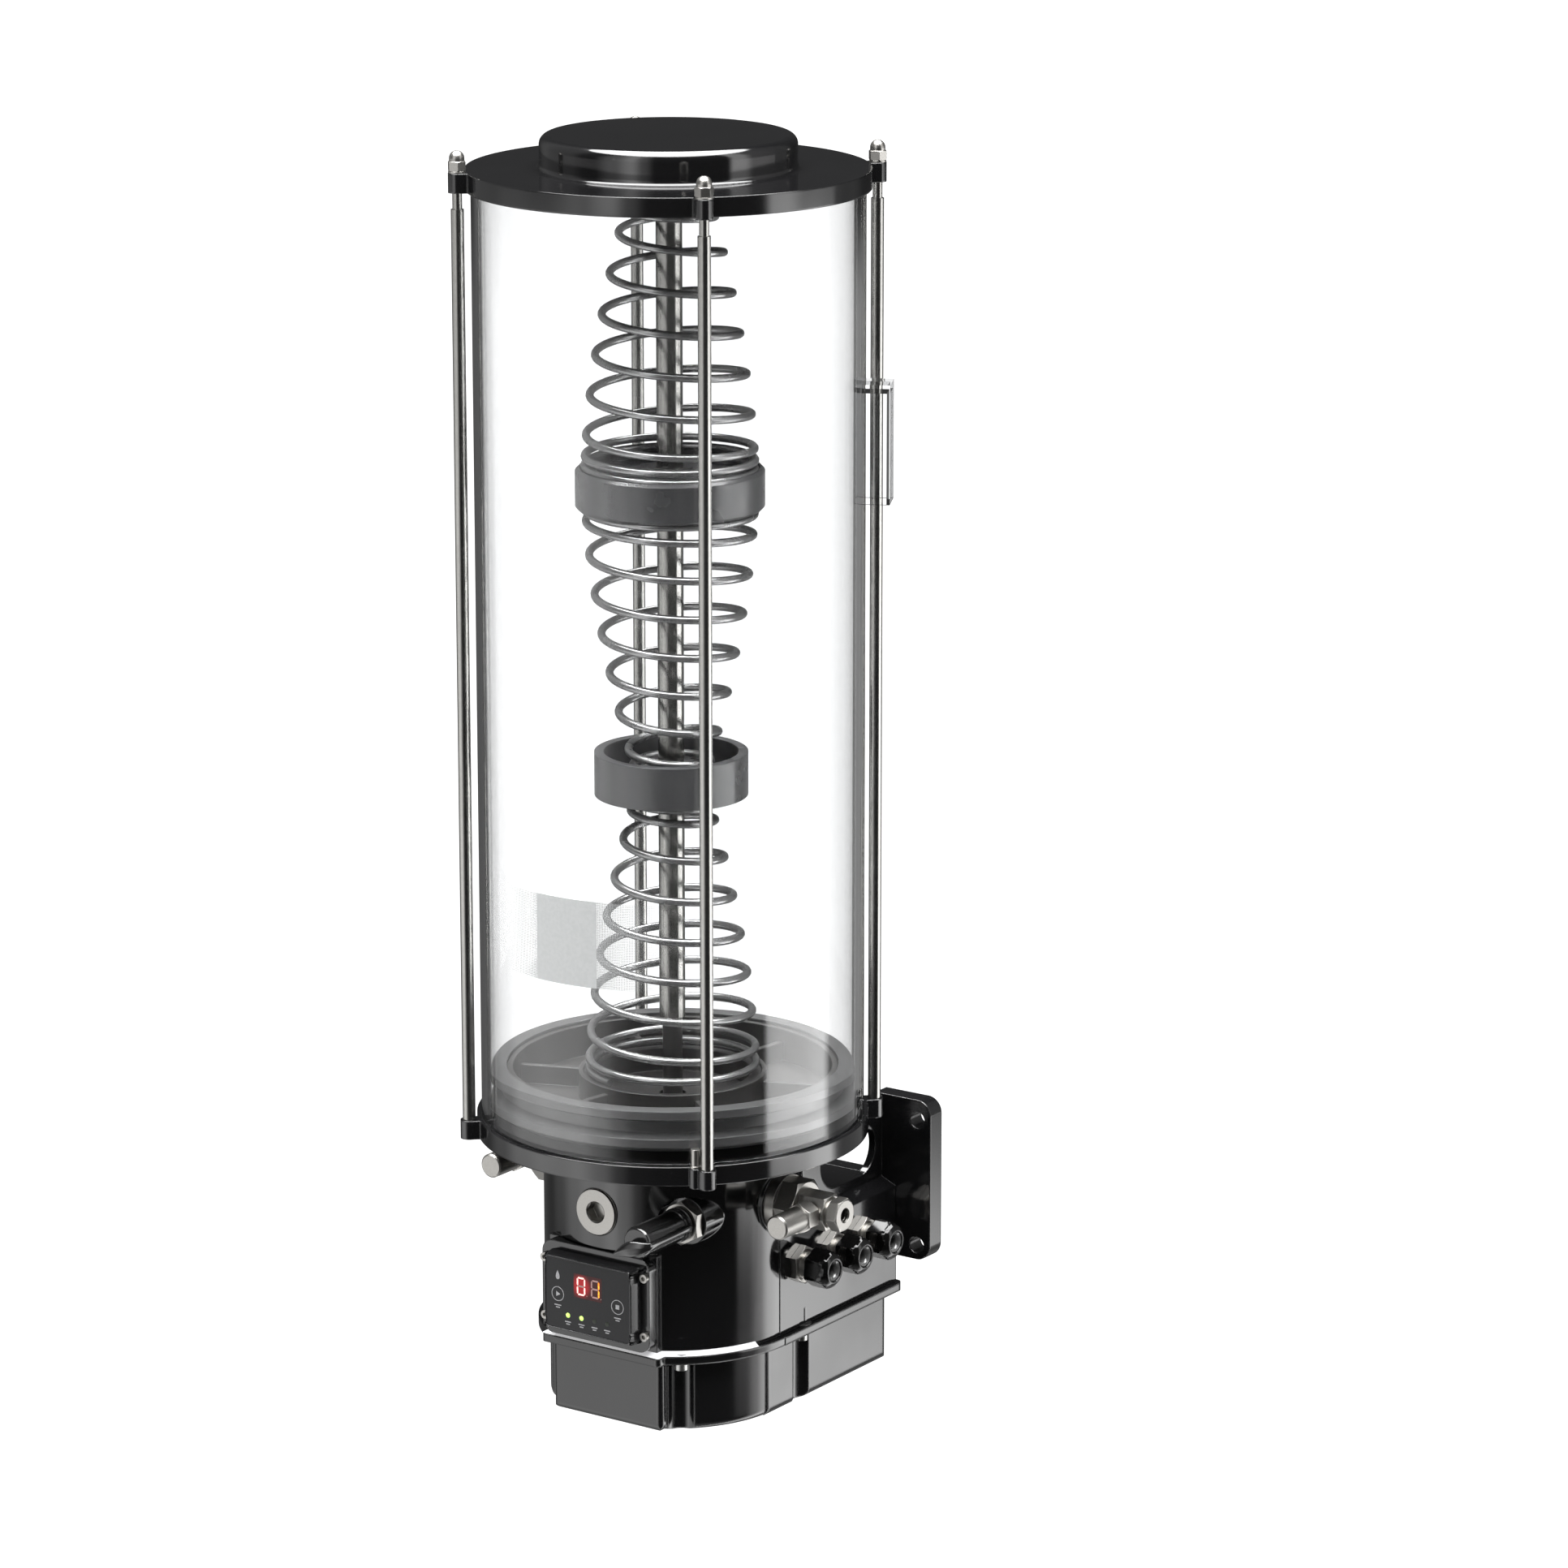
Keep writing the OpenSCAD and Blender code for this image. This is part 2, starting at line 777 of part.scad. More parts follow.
module vent_cover() {
    reach = vent_out + 3;
    vent_roof = 5.5;
    color(clear)
        translate([0, 0, deck_z + vent_top - vent_h])
            difference() {
                around(vent_angle, tube_r + vent_out)
                    translate([-vent_w / 2, 0, 0])
                        cube([vent_w, reach, vent_h]);
                around(vent_angle, tube_r + vent_out - vent_wall)
                    translate([vent_wall - vent_w / 2, 0, -cut])
                        cube([vent_w - 2 * vent_wall, reach, vent_h - vent_roof + cut]);
                translate([0, 0, -2 * cut])
                    cylinder(r = tube_r, h = vent_h + 4 * cut);
            }
}

bleed_angle = 42;
bleed_r = flange_r + 1.5;
bleed_d = 5.6;
bleed_boss_d = 7.6;

module bleed_screw() {
    color(nickel)
        around(bleed_angle, bleed_r)
            translate([0, 0, deck_z]) {
                translate([0, 0, -flange_t + 3])
                    cylinder(d = 3, h = flange_t);
                cylinder(d = bleed_d + 1.2, h = 1.4);
                cylinder(d = bleed_d, h = 12);
            }
}

module base_flange() {
    color(cast_black)
        difference() {
            union() {
                translate([0, 0, flange_z])
                    linear_extrude(flange_t) lugged_plate(flange_r);
                around(bleed_angle, bleed_r)
                    translate([0, 0, flange_z - 0.6])
                        cylinder(d = bleed_boss_d, h = flange_t + 0.6);
            }
            translate([0, 0, flange_z - cut])
                cylinder(r = throat_r, h = flange_t + 2 * cut);
            translate([0, 0, deck_z - groove_h])
                ring(tube_r + seat_gap, tube_in - seat_gap, groove_h + cut);
            at_rods()
                translate([0, 0, deck_z - rod_screw_in])
                    cylinder(d = rod_hole_d, h = rod_screw_in + cut);
            around(bleed_angle, bleed_r)
                translate([0, 0, deck_z - flange_t + 3])
                    cylinder(d = 3 + 2 * seat_gap, h = flange_t);
            for (angle = rod_angles)
                around(angle, flange_screw_r) {
                    translate([0, 0, flange_z - cut])
                        cylinder(d = screw_d + 2 * seat_gap, h = flange_t + 2 * cut);
                    translate([0, 0, deck_z - countersink_h])
                        cylinder(d1 = screw_d, d2 = screw_d + 2 * countersink_h,
                            h = countersink_h + 0.01);
                }
        }
}

module flange_screws() {
    shank = flange_t + screw_reach;
    color(nickel)
        for (angle = rod_angles)
            around(angle, flange_screw_r)
                difference() {
                    union() {
                        translate([0, 0, deck_z - shank])
                            cylinder(d = screw_d, h = shank);
                        translate([0, 0, deck_z - countersink_h])
                            cylinder(d1 = screw_d - 0.4, d2 = screw_d + 2 * countersink_h - 0.4,
                                h = countersink_h);
                    }
                    translate([0, 0, deck_z - 2])
                        cylinder(d = 3.5, h = 2 + cut, $fn = 6);
                }
}

// A circle that is cut flat at the front.
module round_front(r, front) {
    intersection() {
        circle(r);
        translate([-r, -front])
            square([2 * r, front + r]);
    }
}

// The outline of the cover at its rim, or further in for its wall.
module cover_outline(inset) {
    edge = rim_over - inset;
    round_front(body_r + edge, boss_front_cover - inset - boss_corner);
    round_rect([-box_half - edge, 0], [box_half + edge, box_back + back_over - inset], 5);
    translate([-box_half - edge, 0])
        square([2 * (box_half + edge), 20]);
    round_rect([-boss_half_cover + inset * boss_side, -boss_front_cover + inset],
        [boss_half_cover - inset * boss_side, 0], boss_corner);
}

// Places around the cover's rim, as far out from the wall's middle as asked.
module cover_places(out) {
    reach = body_r - wall / 2 + out;
    mirrored_x() {
        rotate(scoop_front_angle)
            translate([0, -reach])
                children();
        translate([box_half - wall / 2 + out, scoop_side_y])
            children();
        translate([scoop_back_x, box_back - wall / 2 + out])
            children();
    }
}

// The side view of a box whose lower edge is round.
module soft_profile(low, high, r, top) {
    translate([low + r, 0])
        square([high - low - 2 * r, top]);
    translate([low, r])
        square([high - low, top - r]);
    for (x = [low + r, high - r])
        translate([x, r])
            circle(r);
}

// A box with round upright corners and a round lower edge.
module soft_box(low, high, corner, r, top) {
    intersection() {
        linear_extrude(top)
            round_rect(low, high, corner);
        translate([0, high.y + cut, 0])
            rotate([90, 0, 0])
                linear_extrude(high.y - low.y + 2 * cut)
                    soft_profile(low.x, high.x, r, top);
        translate([low.x - cut, 0, 0])
            rotate([90, 0, 90])
                linear_extrude(high.x - low.x + 2 * cut)
                    soft_profile(low.y, high.y, r, top);
    }
}

module cover_body(inset, lift, edge_r, top) {
    edge = rim_over - rim_inset - inset;
    box_in = rim_inset * boss_side + inset;
    front = boss_front_cover - rim_inset - inset - edge_r;
    reach = body_r + edge;
    translate([0, 0, lift]) {
        intersection() {
            rotate_extrude() {
                square([reach - edge_r, top]);
                translate([0, edge_r])
                    square([reach, top - edge_r]);
                translate([reach - edge_r, edge_r])
                    circle(edge_r);
            }
            translate([-reach - cut, -front, -cut])
                cube([2 * (reach + cut), front + reach + cut, top + 2 * cut]);
        }
        soft_box([-box_half - edge, -12], [box_half + edge, cover_back - inset],
            cover_edge, edge_r, top);
        soft_box([-boss_half_cover + box_in, -boss_front_cover + rim_inset + inset],
            [boss_half_cover - box_in, 0], boss_corner, edge_r, top);
    }
}

module bottom_cover() {
    wall_top = cover_h - rim_t;
    color(cast_black)
        difference() {
            union() {
                translate([0, 0, wall_top])
                    linear_extrude(rim_t) cover_outline(0);
                difference() {
                    cover_body(0, 0, cover_edge, wall_top + cut);
                    linear_extrude(2 * wall_top, center = true)
                        cover_places(scoop_out)
                            circle(scoop_r);
                }
            }
            difference() {
                cover_body(cover_wall, cover_wall, cover_edge - 2, cover_h);
                linear_extrude(2 * cover_h)
                    cover_places(scoop_out)
                        circle(scoop_r + cover_wall);
            }
            linear_extrude(cover_h + cut)
                cover_places(0)
                    circle(d = screw_d + 2 * seat_gap);
        }
}

module cover_gasket() {
    color(rubber)
        translate([0, 0, cover_h])
            linear_extrude(gasket_t)
                difference() {
                    union() {
                        difference() {
                            union() {
                                round_front(body_r - 0.5, boss_y - 0.5);
                                translate([-box_half + 0.5, 0])
                                    square([2 * box_half - 1, box_back - 0.5]);
                            }
                            round_front(body_r - wall + 0.5, boss_y - wall + 0.5);
                            translate([-box_half + wall - 0.5, 0])
                                square([2 * (box_half - wall) + 1, box_back - wall + 0.5]);
                        }
                        cover_places(0)
                            circle(screw_boss_r);
                    }
                    cover_places(0)
                        circle(d = screw_d + 2 * seat_gap);
                }
}

module cover_screws() {
    color(nickel)
        cover_places(0)
            translate([0, 0, cover_h - rim_t]) {
                cylinder(d = screw_d, h = rim_t + gasket_t + 8);
                difference() {
                    translate([0, 0, -screw_head_h])
                        cylinder(d = screw_head_d, h = screw_head_h);
                    translate([0, 0, -screw_head_h - cut])
                        cylinder(d = 4.6, h = 2.5 + cut, $fn = 6);
                }
            }
}

// A web with its round-ended window, from the round body back to the ears.
module bracket_web() {
    window_low = flange_z - web_window_drop;
    translate([ear_in, 0, 0])
        difference() {
            translate([0, 40, roof_z - cut])
                cube([web_t, ear_front - 40 + cut, flange_z - roof_z + cut]);
            for (y = web_window_y)
                translate([-cut, y, window_low + window_r])
                    rotate([0, 90, 0])
                        cylinder(r = window_r, h = web_t + 2 * cut);
            translate([-cut, web_window_y[0], window_low])
                cube([web_t + 2 * cut, web_window_y[1] - web_window_y[0], 2 * window_r]);
        }
}

// One ear of the wall bracket, with its two mounting holes.
module bracket_ear() {
    translate([0, ear_front + ear_t, 0])
        rotate([90, 0, 0])
            linear_extrude(ear_t)
                difference() {
                    union() {
                        round_rect([ear_in, ear_low], [ear_half, ear_top], ear_corner);
                        translate([ear_in, ear_low])
                            square([2 * ear_corner, ear_h]);
                    }
                    for (side = [-1, 1])
                        translate([bolt_half_x, bolt_z + side * bolt_half_z])
                            circle(d = bolt_d);
                }
}

module post_places() {
    for (x = [-post_x, post_x], y = post_y)
        translate([x, y, 0])
            children();
}

// The dry compartment under the chamber floor and in the box behind it.
module dry_space() {
    inside_h = floor_z - housing_z;
    translate([0, 0, housing_z - cut])
        linear_extrude(inside_h + cut)
            round_front(body_r - wall, boss_y - wall);
    translate([wall - box_half, 0, housing_z - cut])
        cube([2 * (box_half - wall), box_back - wall, inside_h + cut]);
}

module housing_shell() {
    boss_top = display_z + frame_h / 2 + boss_top_rise;
    translate([0, 0, housing_z])
        cylinder(r = body_r, h = housing_h);
    translate([0, box_back, 0])
        rotate([90, 0, 0])
            linear_extrude(box_back)
                polygon([[-box_half, housing_z], [box_half, housing_z],
                    [box_half, flange_z - shoulder_drop], [web_x, roof_z],
                    [-web_x, roof_z], [-box_half, flange_z - shoulder_drop]]);
    translate([-frame_half, -boss_y, housing_z])
        cube([2 * frame_half, boss_y, boss_top - housing_z]);
}

module pump_housing() {
    plug_seat = body_r - 1.6;
    boss_top = display_z + frame_h / 2 + boss_top_rise;
    color(cast_black)
        difference() {
            union() {
                difference() {
                    housing_shell();
                    dry_space();
                    // The round wall is cut flat where the display frame seats.
                    translate([-frame_half - cut, -boss_y - 20, housing_z - cut])
                        cube([2 * (frame_half + cut), 20, boss_top - housing_z + cut]);
                }
                mirrored_x()
                    translate([0, 0, port_z])
                        rotate([0, 90, 0])
                            cylinder(r = element_boss_r, h = element_seat);
                translate([filler_x, 0, filler_z])
                    rotate([90, 0, 0])
                        cylinder(r = filler_boss_r, h = filler_face);
                translate([0, 0, hub_z])
                    cylinder(r = bearing_d / 2 + 5, h = chamber_z - hub_z);
                post_places()
                    translate([0, 0, display_z])
                        cylinder(r = post_r, h = floor_z - display_z + 2);
                // Bosses that take the cover screws.
                intersection() {
                    translate([0, 0, housing_z])
                        linear_extrude(12)
                            cover_places(0)
                                circle(screw_boss_r);
                    housing_shell();
                }
            }
            // Grease chamber.
            translate([0, 0, chamber_z])
                cylinder(r = throat_r, h = chamber_h + cut);
            // Shaft, bearing and seal.
            translate([0, 0, hub_z])
                cylinder(r = shaft_d / 2 + 2, h = chamber_h);
            translate([0, 0, hub_z - cut])
                cylinder(d = bearing_d, h = bearing_h + bearing_step + cut);
            translate([0, 0, chamber_z - shaft_seal_h])
                cylinder(d = shaft_seal_d, h = shaft_seal_h + cut);
            // Element holes.
            translate([0, 0, port_z])
                rotate([0, 90, 0])
                    cylinder(d = element_d + 2 * seat_gap, h = 2 * element_seat + 20,
                        center = true);
            // Plug hole and its seat.
            translate([0, 0, port_z])
                rotate([90, 0, 0])
                    cylinder(d = plug_thread_d + 2 * seat_gap, h = body_r + 10);
            translate([0, -plug_seat, port_z])
                rotate([90, 0, 0])
                    cylinder(d = plug_d + 1, h = 10);
            // Filler bore and its spot face.
            translate([filler_x, -filler_face, filler_z])
                rotate([90, 0, 0])
                    cylinder(r = filler_boss_r, h = 20);
            translate([filler_x, 0, filler_z])
                rotate([90, 0, 0])
                    cylinder(d = filler_thread_d + 2 * seat_gap, h = body_r + 10);
            // Gland holes.
            gland_places()
                translate([-wall - cut, 0, 0])
                    rotate([0, 90, 0])
                        cylinder(d = gland_thread_d + 2 * seat_gap, h = wall + 2 * cut);
            // Window for the display's board.
            translate([-pocket_half, -boss_y - cut, display_z - film_h / 2 + 3])
                cube([2 * pocket_half, window_depth, film_h - 6]);
            // Screw holes.
            translate([0, 0, housing_z - cut])
                linear_extrude(10 + cut)
                    cover_places(0)
                        circle(d = screw_d + 2 * seat_gap);
            for (angle = rod_angles)
                around(angle, flange_screw_r)
                    translate([0, 0, flange_z - 14])
                        cylinder(d = screw_d + 2 * seat_gap, h = 14 + cut);
            motor_screw_places()
                translate([0, 0, floor_z - cut])
                    cylinder(d = 4 + 2 * seat_gap, h = 5 + cut);
            display_screw_places()
                translate([0, -boss_y - cut, 0])
                    rotate([-90, 0, 0])
                        cylinder(d = 3 + 2 * seat_gap, h = 8);
            post_places()
                translate([0, 0, display_z - cut])
                    cylinder(d = 3 + 2 * seat_gap, h = 10);
        }
}

// Webs, ears and the bar behind the box that joins the two ears.
module wall_bracket() {
    color(cast_black)
        difference() {
            union() {
                mirrored_x() {
                    bracket_web();
                    bracket_ear();
                }
                translate([-ear_in - cut, box_back - cut, ear_low])
                    cube([2 * (ear_in + cut), ear_front + ear_t - box_back + cut,
                        roof_z - ear_low]);
            }
            housing_shell();
        }
}

// Display
screw_out = 3.2;
notch_r = 4.6;
display_screw_x = case_half + screw_out;
display_screw_rise = 19;
film_recess = 0.4;
film_t = 0.6;

module display_screw_places() {
    for (x = [-display_screw_x, display_screw_x], side = [-1, 1])
        translate([x, 0, display_z + side * display_screw_rise])
            children();
}

// A plate that stands upright, with its front face towards -Y.
module upright(front_y, t) {
    translate([0, -front_y + t, display_z])
        rotate([90, 0, 0])
            linear_extrude(t)
                children();
}

frame_front = boss_y + frame_t;
case_front = frame_front + case_t;
film_back = case_front - film_recess - film_t;

module display_frame() {
    color(cast_black)
        difference() {
            upright(frame_front, frame_t)
                difference() {
                    round_rect([-frame_half, -frame_h / 2], [frame_half, frame_h / 2],
                        frame_corner);
                    square([2 * pocket_half, film_h - 6], center = true);
                }
            display_screw_places()
                translate([0, -frame_front - cut, 0])
                    rotate([-90, 0, 0])
                        cylinder(d = 3 + 2 * seat_gap, h = frame_t + 2 * cut);
        }
}

module display_case() {
    color(cast_black)
        difference() {
            upright(case_front, case_t)
                difference() {
                    round_rect([-case_half, -case_h / 2], [case_half, case_h / 2], 3.5);
                    square([2 * pocket_half, film_h - 6], center = true);
                }
            upright(case_front + cut, case_front + cut - film_back)
                square([2 * film_half, film_h], center = true);
            display_screw_places()
                translate([0, -case_front - cut, 0])
                    rotate([-90, 0, 0])
                        cylinder(r = notch_r, h = case_t + 2 * cut);
        }
}

module display_film() {
    color([0.12, 0.12, 0.13])
        upright(film_back + film_t, film_t)
            square([2 * (film_half - seat_gap), film_h - 2 * seat_gap], center = true);
}

digit_w = 10;
digit_h = 17;
digit_t = 6;
digit_rise = 8;
led_pitch = 10;
led_rise = -13.3;

module digit_display() {
    color([0.55, 0.05, 0.10])
        upright(film_back, digit_t)
            translate([0, digit_rise])
                square([2 * digit_w + 2, digit_h], center = true);
}

module indicator_leds() {
    color([0.55, 0.85, 0.15])
        upright(film_back, digit_t)
            for (i = [-1.5, -0.5, 0.5, 1.5])
                translate([i * led_pitch, led_rise])
                    circle(d = 3);
}

module display_screws() {
    color(nickel)
        display_screw_places()
            translate([0, -frame_front, 0])
                rotate([90, 0, 0])
                    difference() {
                        union() {
                            cylinder(d = 5.6, h = 2.6);
                            translate([0, 0, -frame_t - 6])
                                cylinder(d = 3, h = frame_t + 6);
                        }
                        translate([0, 0, 1.2])
                            cylinder(d = 2.9, h = 2, $fn = 6);
                    }
}

board_y = film_back - digit_t;
module control_board() {
    color([0.05, 0.30, 0.15])
        upright(board_y, 1.6)
            square([2 * pocket_half - 2, film_h - 8], center = true);
}

module power_board() {
    color([0.05, 0.30, 0.15])
        translate([-board_half, board_back - board_depth, display_z - board_t])
            difference() {
                cube([2 * board_half, board_depth, board_t]);
                translate([board_half, board_depth - board_back, -cut])
                    post_places()
                        cylinder(d = 3 + 2 * seat_gap, h = board_t + 2 * cut);
            }
    color([0.15, 0.15, 0.17]) {
        translate([18 - board_half, board_back - 28, display_z - board_t - 22])
            cube([30, 22, 22]);
        translate([board_half - 44, board_back - 26, display_z - board_t - 14])
            cube([26, 18, 14]);
    }
}

module board_screws() {
    color(nickel)
        post_places()
            translate([0, 0, display_z - board_t]) {
                cylinder(d = 3, h = 9);
                translate([0, 0, -2])
                    cylinder(d = 5.5, h = 2);
            }
}

// Drive
gearbox_top = hub_z - 0.5;
motor_screw_r = 28;
ecc_h = 16;
ecc_r = 17;
stirrer_t = 6;
stirrer_z = spider_z - stirrer_t - 3;

module motor_screw_places() {
    for (angle = [45, 135, 225, 315])
        around(angle, motor_screw_r)
            children();
}

module gearbox() {
    spacer_h = floor_z - gearbox_top;
    color(steel)
        translate([0, 0, gearbox_top - gearbox_h])
            difference() {
                union() {
                    cylinder(d = gearbox_d, h = gearbox_h);
                    for (angle = [45, 135, 225, 315])
                        around(angle, motor_screw_r)
                            cylinder(d = 9, h = gearbox_h + spacer_h);
                }
                translate([0, 0, gearbox_h - 18])
                    cylinder(d = shaft_d + 2 * run_gap, h = 18 + cut);
                for (angle = [45, 135, 225, 315])
                    around(angle, motor_screw_r)
                        translate([0, 0, -cut])
                            cylinder(d = 4 + 2 * seat_gap, h = gearbox_h + spacer_h + 2 * cut);
            }
}

module motor() {
    color(dark_grey)
        translate([0, 0, gearbox_top - gearbox_h - motor_h]) {
            cylinder(d = motor_d - 8, h = motor_h);
            translate([0, 0, 4])
                cylinder(d = motor_d, h = motor_h - 4);
        }
}

module motor_screws() {
    color(nickel)
        motor_screw_places() {
            translate([0, 0, gearbox_top - gearbox_h])
                cylinder(d = 4, h = floor_z + 4 - gearbox_top + gearbox_h);
            translate([0, 0, gearbox_top - gearbox_h - 4])
                cylinder(d = 6, h = 4);
        }
}

module drive_shaft() {
    low = gearbox_top - shaft_reach;
    color(steel)
        translate([0, 0, low])
            cylinder(d = shaft_d, h = stirrer_z + stirrer_t - low);
}

module shaft_bearing() {
    color(steel)
        translate([0, 0, hub_z + bearing_step])
            ring(bearing_d / 2, shaft_d / 2 + run_gap, bearing_h);
}

module shaft_seal() {
    color(rubber)
        translate([0, 0, chamber_z - shaft_seal_h])
            ring(shaft_seal_d / 2, shaft_d / 2 + run_gap, shaft_seal_h);
}

module eccentric() {
    color(steel)
        translate([0, 0, port_z - ecc_h / 2])
            difference() {
                translate([0, throw, 0])
                    cylinder(r = ecc_r, h = ecc_h);
                translate([0, 0, -cut])
                    cylinder(d = shaft_d, h = ecc_h + 2 * cut);
            }
}

module eccentric_ring() {
    color(nickel)
        translate([0, throw, port_z - ecc_h / 2])
            ring(ring_r, ecc_r, ecc_h);
}

module stirrer() {
    color(steel)
        translate([0, 0, stirrer_z])
            difference() {
                union() {
                    cylinder(r = 12, h = stirrer_t);
                    for (angle = [20, 200])
                        rotate([0, 0, angle]) {
                            translate([0, -5, 0])
                                cube([stirrer_r, 10, 3]);
                            translate([stirrer_r - 12, -5, -10])
                                rotate([0, 0, 0])
                                    cube([3, 10, 11]);
                        }
                }
                translate([0, 0, -cut])
                    cylinder(d = shaft_d, h = stirrer_t + 2 * cut);
            }
}

// Plug and filler
plug_head_t = 2;
plug_washer_t = 0.8;
plug_in = body_r - 1.6;

module plug_washer() {
    color(rubber)
        translate([0, -plug_in, port_z])
            rotate([90, 0, 0])
                ring(plug_d / 2 + 0.2, plug_thread_d / 2 + seat_gap, plug_washer_t);
}

module sealing_plug() {
    color(nickel)
        translate([0, -plug_in - plug_washer_t, port_z])
            rotate([90, 0, 0])
                difference() {
                    union() {
                        cylinder(d = plug_d, h = plug_head_t);
                        translate([0, 0, -8])
                            cylinder(d = plug_thread_d, h = 8);
                    }
                    translate([0, 0, -5])
                        cylinder(d = 13.6, h = 10, $fn = 6);
                    translate([0, 0, plug_head_t - 1.2])
                        cylinder(d1 = 11.6, d2 = 14.4, h = 1.3);
                }
}

filler_thread_d = 17;
filler_hex_af = 25;
filler_hex_t = 7;
nipple_d = 14;
nipple_len = 40;
tether_t = 2;

module along_filler() {
    translate([filler_x, -filler_face, filler_z])
        rotate([90, 0, 0])
            children();
}

module fill_coupling() {
    color(nickel)
        along_filler()
            difference() {
                union() {
                    translate([0, 0, -10])
                        cylinder(d = filler_thread_d, h = 10);
                    rotate([0, 0, 30])
                        turned_hex(filler_hex_af, filler_hex_t, back = false);
                    cylinder(d = nipple_d, h = nipple_len);
                }
                translate([0, 0, -11])
                    cylinder(d = 5, h = nipple_len + 12);
            }
}

cap_low = filler_hex_t + 3;
module fill_cap() {
    tip = cap_low + cap_len;
    color(rubber)
        along_filler()
            difference() {
                union() {
                    translate([0, 0, cap_low])
                        cylinder(d = cap_d, h = cap_len - 2);
                    translate([0, 0, tip - 2])
                        cylinder(d1 = cap_d, d2 = cap_d - 4, h = 2);
                    translate([0, 0, cap_low + 1])
                        cylinder(d = cap_d + 1.6, h = 1.6);
                    translate([0, 0, cap_low + 4])
                        cylinder(d = cap_d + 1.6, h = 1.6);
                    translate([0, 0, tip - 1])
                        cylinder(d = 6, h = 5);
                }
                translate([0, 0, cap_low - cut])
                    cylinder(d = nipple_d + 2 * move_gap, h = nipple_len - cap_low + 2 * cut);
            }
}

// The tether: a ring on the coupling's neck, and a strap that ends on the cap's knob.
module cap_strap() {
    tip = cap_low + cap_len;
    strap_x = cap_d / 2 + 1.2;
    color(rubber)
        along_filler() {
            translate([0, 0, filler_hex_t + 0.4])
                ring(cap_d / 2 + 1, nipple_d / 2 + move_gap, tether_t);
            translate([strap_x, -2.5, filler_hex_t + 0.4])
                cube([1.8, 5, tip - filler_hex_t + 3]);
            translate([cap_d / 2 - 1, -2.5, filler_hex_t + 0.4])
                cube([3, 5, tether_t]);
            translate([0, 0, tip + 0.6])
                linear_extrude(tether_t) {
                    difference() {
                        union() {
                            circle(5.5);
                            translate([0, -2.5])
                                square([strap_x + 1.8, 5]);
                            rotate(35)
                                polygon([[-4.5, -3], [-4.5, 3], [-13, 0]]);
                        }
                        circle(3.1);
                    }
                }
        }
}

// Elements, along +X at the right and turned over for the left
module along_element(left) {
    rotate([0, 0, left ? 180 : 0])
        translate([element_seat, 0, port_z])
            rotate([0, 90, 0])
                children();
}

body_start = collar_t + element_hex_t;
body_len = outlet_len - outlet_nut_t - shoulder_t - body_start;
nut_start = body_start + body_len + shoulder_t;

valve_hex_af = 17;
valve_hex_t = 11;
valve_seat = body_af / 2 + hex_gap;
valve_stem_d = 10;

module pump_element(left) {
    color(nickel)
        difference() {
            along_element(left)
                difference() {
                    union() {
                        translate([0, 0, element_in - element_seat])
                            cylinder(d = element_d, h = element_seat - element_in + cut);
                        cylinder(d = collar_d, h = collar_t);
                        translate([0, 0, collar_t])
                            rotate([0, 0, hex_turn])
                                turned_hex(element_af, element_hex_t, back = false);
                        translate([0, 0, body_start - cut])
                            rotate([0, 0, body_turn])
                                turned_hex(body_af, body_len + cut, back = false);
                        cylinder(d = neck_d, h = nut_start + outlet_nut_t - 3);
                    }
                    translate([0, 0, element_in - element_seat - cut])
                        cylinder(d = plunger_d + 2 * run_gap, h = barrel_len);
                    translate([0, 0, element_in - element_seat + cut])
                        cylinder(d = duct_d, h = outlet_x - element_in);
                    translate([0, 0, nut_start - pipe_depth])
                        cylinder(d = outlet_bore, h = 60);
                }
            translate([left ? -valve_x : valve_x, 0, port_z])
                rotate([90, 0, 0]) {
                    cylinder(d = valve_stem_d + 2 * seat_gap, h = valve_len);
                    translate([0, 0, body_af / 2])
                        cylinder(r = valve_hex_af / 2 / cos(30) + seat_gap, h = valve_len);
                }
        }
}

module pump_element_right() {
    pump_element(false);
}

module pump_element_left() {
    pump_element(true);
}

module plunger(left) {
    color(steel)
        rotate([0, 0, left ? 180 : 0])
            translate([plunger_stop, 0, port_z])
                rotate([0, 90, 0]) {
                    cylinder(d = plunger_d, h = 40);
                    cylinder(d = plunger_d + 4, h = 2.5);
                }
}

module plunger_right() {
    plunger(false);
}

module plunger_left() {
    plunger(true);
}

module relief_valve(left) {
    side = left ? -1 : 1;
    color(nickel)
        translate([side * valve_x, 0, port_z])
            rotate([90, 0, 0]) {
                translate([0, 0, 2])
                    cylinder(d = valve_stem_d, h = valve_seat);
                translate([0, 0, valve_seat])
                    rotate([0, 0, 30])
                        turned_hex(valve_hex_af, valve_hex_t);
                translate([0, 0, valve_seat + valve_hex_t - 1])
                    cylinder(d = valve_d, h = valve_len - valve_seat - valve_hex_t);
                translate([0, 0, valve_len - 1])
                    cylinder(d1 = valve_d, d2 = valve_d - 2, h = 1);
            }
}

module relief_valve_right() {
    relief_valve(false);
}

module relief_valve_left() {
    relief_valve(true);
}

module outlet_nut(left) {
    color(nickel)
        along_element(left)
            translate([0, 0, nut_start])
                difference() {
                    rotate([0, 0, nut_turn])
                        turned_hex(outlet_nut_af, outlet_nut_t);
                    translate([0, 0, -cut])
                        cylinder(d = neck_d + 2 * seat_gap, h = outlet_nut_t - 3 + cut + seat_gap);
                    translate([0, 0, -cut])
                        cylinder(d = outlet_bore, h = outlet_nut_t + 2 * cut);
                }
}

module outlet_nut_right() {
    outlet_nut(false);
}

module outlet_nut_left() {
    outlet_nut(true);
}

